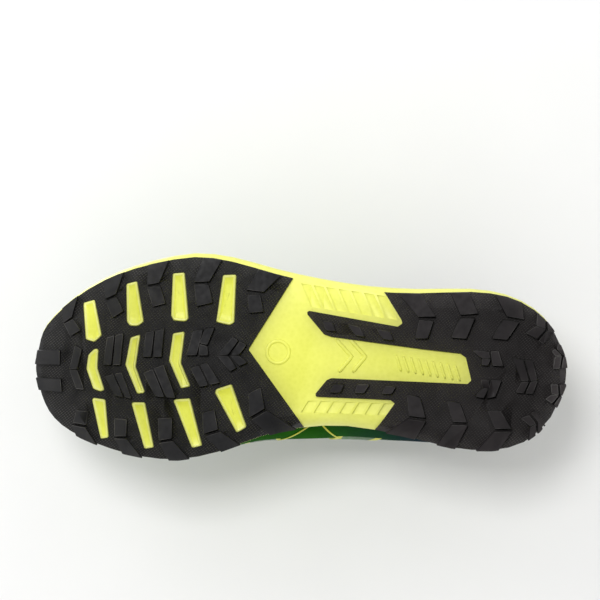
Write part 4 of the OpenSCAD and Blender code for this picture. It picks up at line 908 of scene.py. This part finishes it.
k = np.linspace(0, TONGUE_STEPS + TIP_STEPS, TONGUE_ROWS)[:, None]
q = np.linspace(-0.98, 0.98, TONGUE_COLUMNS)[None, :]
spine = np.gradient(tongue_point(k, np.zeros_like(k))[:, 0], axis=0)
tongue_up = unit(np.cross([1.0, 0, 0], spine))[:, None]
k, q = np.broadcast_arrays(k, q)
free = ease((k - TONGUE_STEPS - 0.3) / 0.8)
end = ease((TONGUE_STEPS + TIP_STEPS - k) / 0.5)
crown = (1 - q ** 4) * np.sqrt(np.clip(end, 0.02, 1))
sewn = np.exp(-((np.mod(k - TONGUE_STEPS, CHANNEL_PITCH) - 0.62) / CHANNEL_WIDTH) ** 2)
puff = TONGUE_PUFF * free * crown * (1 - CHANNEL_DEPTH * sewn * free)
top = tongue_point(k, q) + (puff - TONGUE_SINK)[..., None] * tongue_up
bottom = top - (TONGUE_EDGE + (TONGUE_THICK + puff) * crown)[..., None] * tongue_up
tongue = shell("padded_tongue", top, bottom, KNIT_TONGUE, body="tongue")
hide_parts("tongue_foam", "tongue_cover")
edge_q = np.linspace(-0.93, 0.93, 60)
edge_k = np.full_like(edge_q, TONGUE_STEPS + TIP_STEPS - 0.28)
edge_up = np.tile(tongue_up[-6, 0], (len(edge_q), 1))
stitch = seam("tongue_edge_seam", tongue_point(edge_k, edge_q) + 0.9 * edge_up, edge_up,
              THREAD_YELLOW, "tongue")

# ---- laces
EYELETS, FIRST_EYELET, LAST_EYELET, EYELET_V, EYELET_R = 6, 0.2, 0.575, 0.87, 2.5
STEP = (LAST_EYELET - FIRST_EYELET) / (EYELETS - 1)
LACE_LIFT = EYESTAY + BOND_GAP + LACE / 2 + 0.35
UNDER = KNIT + LINING + 1.1
LACE_WIDTH, LACE_FOOT = 6, -0.9
UP = np.array([0, -0.4, 1.0])
# Places (along, up) of the lace tail under the other eyestay, and of its aglet
TAIL = [[0.598, 1], [0.59, 0.93], [0.57, 0.87], [0.53, 0.82], [0.47, 0.8]]
AGLET_PLACES = [(0.475, 0.801), (0.44, 0.797), (0.4, 0.795)]
AGLET_WIDTH, AGLET_THICK = 2.8, 1.7


def skin_at(side, f, v, height):
    return under_skin(place(side, f), v, -height)


def normal_at(side, f, v):
    return skin_normal(place(side, f), v)


def eyelet_place(k):
    return lerp(FIRST_EYELET, LAST_EYELET, (k - 1) / (EYELETS - 1))


def ribbon(points, faces, widths, samples=56, width=LACE_WIDTH, thickness=LACE):
    """A flat band through a few points, with its facing and its share of full width at each."""
    f = np.linspace(0, 1, samples)
    path, normals = smooth_rows(points, f), unit(smooth_rows(faces, f))
    share = smooth_rows(widths, f)
    across, up = frame_of(path, normals)
    return tube_mesh(path, across * share[:, None], up, oval(width, thickness))


def leaving(side, f, near):
    """Points and facings of a lace that comes up through an eyelet and over the edge."""
    n = normal_at(side, f, EYELET_V)
    return ([skin_at(side, f, EYELET_V, LACE_FOOT), skin_at(side, f, EYELET_V, LACE_LIFT),
             skin_at(side, near, 1, LACE_LIFT)], [n, n, normal_at(side, near, 1)])


def tucking(side, f, end):
    """Points of a lace that passes under an edge, on its way to the next eyelet."""
    return [skin_at(side, f, 1, -UNDER), skin_at(side, end, 0.93, -UNDER)]


def between(start, end, lift):
    return lerp(start, end, 0.5) + [0, 0, lift]


def crossing(side, k, lift):
    near, far = eyelet_place(k) + 0.28 * STEP, eyelet_place(k) + 0.78 * STEP
    points, faces = leaving(side, eyelet_place(k), near)
    return ribbon(points + [between(skin_at(side, near, 1, 0), skin_at(-side, far, 1, 0), lift)]
                  + tucking(-side, far, eyelet_place(k + 1) - 0.1 * STEP),
                  faces + [UP, normal_at(-side, far, 1),
                           normal_at(-side, eyelet_place(k + 1), EYELET_V)],
                  [0.6, 0.75, 1, 1, 1, 1])


def straight_bar():
    f = eyelet_place(1)
    (points, faces), (far_points, far_faces) = leaving(1, f, f), leaving(-1, f, f)
    middle = between(skin_at(1, f, 1, 0), skin_at(-1, f, 1, 0), 2.4)
    return ribbon(points + [middle] + far_points[::-1], faces + [UP] + far_faces[::-1],
                  [0.6, 0.75, 1, 1, 1, 0.75, 0.6])


def hidden_crossing(side, lift):
    near, far = eyelet_place(1) + 0.3 * STEP, eyelet_place(1) + 0.78 * STEP
    n, m = normal_at(side, near, 1), normal_at(-side, far, 1)
    return ribbon(tucking(side, near, eyelet_place(1) + 0.1 * STEP)[::-1]
                  + [between(skin_at(side, near, 1, -1), skin_at(-side, far, 1, -1), lift)]
                  + tucking(-side, far, eyelet_place(2) - 0.1 * STEP), [n, n, UP, m, m], [1] * 5)


def last_crossing(side, lift):
    near = LAST_EYELET + 0.06 * STEP
    points, faces = leaving(side, eyelet_place(EYELETS), near)
    tail = [skin_at(-side, f, v, -UNDER) for f, v in TAIL]
    return ribbon(points + [between(skin_at(side, near, 1, 0), tail[0], lift)] + tail,
                  faces + [UP] + [normal_at(-side, f, v) for f, v in TAIL],
                  [0.6, 0.75, 1, 1, 1, 1, 1, 0.8, 0.4], samples=80)


strands = [straight_bar(), hidden_crossing(1, 1.4), hidden_crossing(-1, 2.9)]
for k in range(2, EYELETS):
    strands += [crossing(1, k, 1.6), crossing(-1, k, 3.2)]
strands += [last_crossing(1, 1.8), last_crossing(-1, 3.4)]
lace = joined("woven_lace", strands, LACE_WEAVE)
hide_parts("lace")
tips = [ribbon([skin_at(side, f, v, -UNDER) for f, v in AGLET_PLACES],
               [normal_at(side, f, v) for f, v in AGLET_PLACES],
               [1, 1, 0.7], 12, AGLET_WIDTH, AGLET_THICK) for side in (1, -1)]
aglets = joined("lace_aglets", tips, AGLET)
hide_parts("aglets")

# Eyelet rings, and dark discs inside them: painted shade in place of the open holes
RING_SPOKES, RING_SIDES = 28, 8
section = oval(1.3, 0.8, RING_SIDES, 0.9) + [EYELET_R + 0.3, 0]
ring_faces = tube_faces(RING_SPOKES, RING_SIDES, closed=True)
a = np.arange(RING_SPOKES)[:, None] / RING_SPOKES * 2 * np.pi
rings, holes = [], []
for side in (1, -1):
    for number in range(1, EYELETS + 1):
        n = normal_at(side, eyelet_place(number), EYELET_V)
        x = unit(np.cross([0, 1.0, 0], n))
        y = np.cross(n, x)
        centre = skin_at(side, eyelet_place(number), EYELET_V, EYESTAY + BOND_GAP)
        spokes = np.cos(a) * x + np.sin(a) * y
        grid = np.stack([centre + r * spokes + h * n for r, h in section], 1)
        rings.append((grid.reshape(-1, 3), ring_faces, np.zeros((RING_SPOKES * RING_SIDES, 2))))
        # A dark disc just over the eyelet: painted shade over the hole
        disc = centre + EYELET_R * spokes + 0.05 * n
        holes.append((disc, [tuple(range(RING_SPOKES))], np.zeros((RING_SPOKES, 2))))
for label, parts, m in (("eyelet_rings", rings, EYELET_FILM), ("eyelet_holes", holes, HOLE_SHADE)):
    made = joined(label, parts, m)

# ---- heel pull tab
TAB_MIDDLE = np.array([-8, 133.6, 101.3])
TAB_WIDTH, TAB_HEIGHT, TAB_LOOP_R, TAB_WEB = 14, 18, 5.4, 1.4
TAB_PITCH = 0.7
SIDEWAYS = np.array([1.0, 0, 0])
rise = TAB_HEIGHT - TAB_LOOP_R - TAB_WEB
loop_r, foot_r = TAB_LOOP_R - TAB_WEB / 2, TAB_WEB / 2
slope = math.asin((loop_r - foot_r) / rise)


def arc(radius, start, end, count):
    """Points of an arc in the plane along the shoe."""
    t = np.linspace(start, end, count)
    return radius * np.stack([0 * t, np.cos(t), np.sin(t)], 1)


big = arc(loop_r, -slope, np.pi + slope, 44) + [0, 0, rise]
small = arc(foot_r, np.pi + slope, 2 * np.pi - slope, 14)
centre_line = np.concatenate([big, small, big[:1]]) + TAB_MIDDLE
centre_line, _ = resample(centre_line, np.tile(SIDEWAYS, (len(centre_line), 1)), TAB_PITCH)
centre_line = centre_line[:-1]
out = np.cross(unit(np.roll(centre_line, -1, 0) - np.roll(centre_line, 1, 0)), SIDEWAYS)
section = oval(TAB_WIDTH, TAB_WEB * 0.95, 20, 0.35)[None]
loop = centre_line[:, None] + section[..., :1] * SIDEWAYS + section[..., 1:] * out[:, None]
n, m = loop.shape[:2]
uv = np.stack(np.broadcast_arrays(section[..., 0], np.arange(n)[:, None] * TAB_PITCH), 2)
tab = piece("pull_tab_loop", loop.reshape(-1, 3), tube_faces(n, m, closed=True), TAB_WEAVE,
            "pull_tab", uv.reshape(-1, 2))
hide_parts("heel_pull_tab")

# Foot of the tab: webbing sewn down the back seam of the heel
BACK_MIDDLE, FOOT_REACH = STATIONS + ACROSS / 2, 6.6 / 14 * ACROSS
FOOT_TOP, FOOT_BOTTOM = 2.2, 0.6
b = BACK_MIDDLE + np.linspace(-1, 1, 9)[:, None] * FOOT_REACH
v = np.linspace(0.8, 0.999, 14)[None, :]
foot = shell("pull_tab_foot", under_skin(b, v, -FOOT_TOP), under_skin(b, v, -FOOT_BOTTOM),
             TAB_WEAVE, bevel=0.25)
b = BACK_MIDDLE + np.linspace(-0.9, 0.9, 20) * FOOT_REACH
for label, row in (("low", 0.815), ("middle", 0.9)):
    stitch = seam("pull_tab_seam_" + label, under_skin(b, row, -FOOT_TOP - 0.15),
                  skin_normal(b, row), THREAD_GREEN, pitch=1.6, length=1.2)

# ---- inside
SOCK_INSET = RIM_INNER_INSET + KNIT + LINING + STIFFENER_ROOM + 1
SOCK_TOP = 7.2
CLOTH_TOP, CLOTH_BOTTOM = 0.75, 0.1


def sock_sheet(height):
    """Cupped sheet over the insole, from toe to heel and from the inner to the outer side."""
    ring = OUTLINE - SOCK_INSET * OUTWARD
    i = np.arange(STATIONS + 1)
    t = np.linspace(0, 1, 29)
    share = ease(t) * 0.5 + t * 0.5
    plan = lerp(ring[2 * STATIONS + ACROSS - i][:, None], ring[i][:, None], share[None, :, None])
    gap = edge_gap(plan) - SOCK_INSET
    cup = (0.4 + 5 * ease((plan[..., 1] + 10) / 80)) * np.clip(1 - gap / 9, 0, 1) ** 1.4
    return np.concatenate([plan, (bed_z(plan[..., 1]) + height + cup)[..., None]], 2)


cover = shell("sockliner_top", sock_sheet(SOCK_TOP + CLOTH_TOP),
              sock_sheet(SOCK_TOP + CLOTH_BOTTOM), SOCK_CLOTH, "sockliner_body", bevel=0.25)
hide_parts("sockliner_cover")
INNER_LOOKS = {"sockliner": FOAM_PAD, "strobel_board": BOARD, "rock_plate": PLATE,
               "toe_puff": INNER_FOAM, "heel_counter": PLATE}
for node, look in INNER_LOOKS.items():
    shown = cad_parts[node]
    shown.data.materials.clear()
    shown.data.materials.append(look)

# ---- stage, lights and camera
def one_sided(name, dark, light):
    """Plain paper that is clear from behind."""
    s = Surface(name, 0.9, 0.2)
    s.colour(s.mix(s.spread(s.noise(60), 0.3, 0.7), dark, light))
    clear = s.node("BsdfTransparent").outputs[0]
    behind = s.node("NewGeometry").outputs["Backfacing"]
    both = s.node("MixShader", {0: behind, 1: s.shader.outputs[0], 2: clear})
    s.tree.links.new(both.outputs[0], s.tree.nodes["Material Output"].inputs["Surface"])
    return s.material


def stage_plane(name, half, z, material, faces_down=False):
    h, z = half * MM, z * MM
    corners = [(-h, -h, z), (h, -h, z), (h, h, z), (-h, h, z)]
    mesh = bpy.data.meshes.new(name)
    mesh.from_pydata(corners[::-1] if faces_down else corners, [], [(0, 1, 2, 3)])
    mesh.materials.append(material)
    made = add_object(name, mesh)
    made.visible_shadow = False
    return made


# The floor is just under the lugs, so that the two never flicker
stage_plane("floor", 3000, -0.2, one_sided("floor_paper", (0.78, 0.78, 0.78), (0.8, 0.8, 0.8)))
# Backdrop behind the sole view: it faces down, is clear from above and lights nothing
backdrop = stage_plane(
    "backdrop", 520, 121,
    one_sided("backdrop_paper", (0.735, 0.735, 0.735), (0.745, 0.745, 0.745)), faces_down=True)
backdrop.visible_diffuse = backdrop.visible_glossy = False

scene = bpy.context.scene
scene.view_settings.view_transform = "Standard"
scene.world = bpy.data.worlds.new("studio")
scene.world.use_nodes = True
background = scene.world.node_tree.nodes["Background"]
background.inputs["Color"].default_value = (0.82, 0.82, 0.82, 1)


def aim(made, at, target, up):
    """Turns a lamp or camera at a point towards a target, with a direction kept upwards."""
    at, target, up = Vector(at), Vector(target), Vector(up)
    back_dir = (at - target).normalized()
    right = up.cross(back_dir).normalized()
    turn_to = Matrix((right, back_dir.cross(right), back_dir)).transposed().to_4x4()
    made.matrix_world = Matrix.Translation(at) @ turn_to


def lamp(name, at, size, power):
    """A square soft lamp aimed at the shoe: place and size in metres, power in watts."""
    data = bpy.data.lights.new(name, "AREA")
    data.shape = "SQUARE"
    data.size = size
    data.energy = power
    aim(add_object(name, data), at, (0, 0, 0.02), (0, 1, 0))


lamp("sole_key", (0.36, -0.2, -1.2), 0.32, 9.3)
lamp("sole_fill", (0.8, -0.6, -0.7), 0.5, 2)
lamp("top_key", (0.9, -0.8, 1.3), 0.7, 10)
lamp("top_fill", (-1.0, 0.5, 0.9), 0.9, 3)

VIEW_WIDTH, VIEW_DISTANCE, SENSOR = 326.7 * MM, 1.15, 36
TILT = math.radians(3)
TARGET = Vector((31 * MM, 0, 10 * MM))
camera = add_object("camera", bpy.data.cameras.new("camera"))
camera.data.sensor_width = SENSOR
camera.data.lens = SENSOR * VIEW_DISTANCE / VIEW_WIDTH
camera_at = TARGET + VIEW_DISTANCE * Vector((math.sin(TILT), 0, -math.cos(TILT)))
aim(camera, camera_at, TARGET, (1, 0, 0))
scene.camera = camera
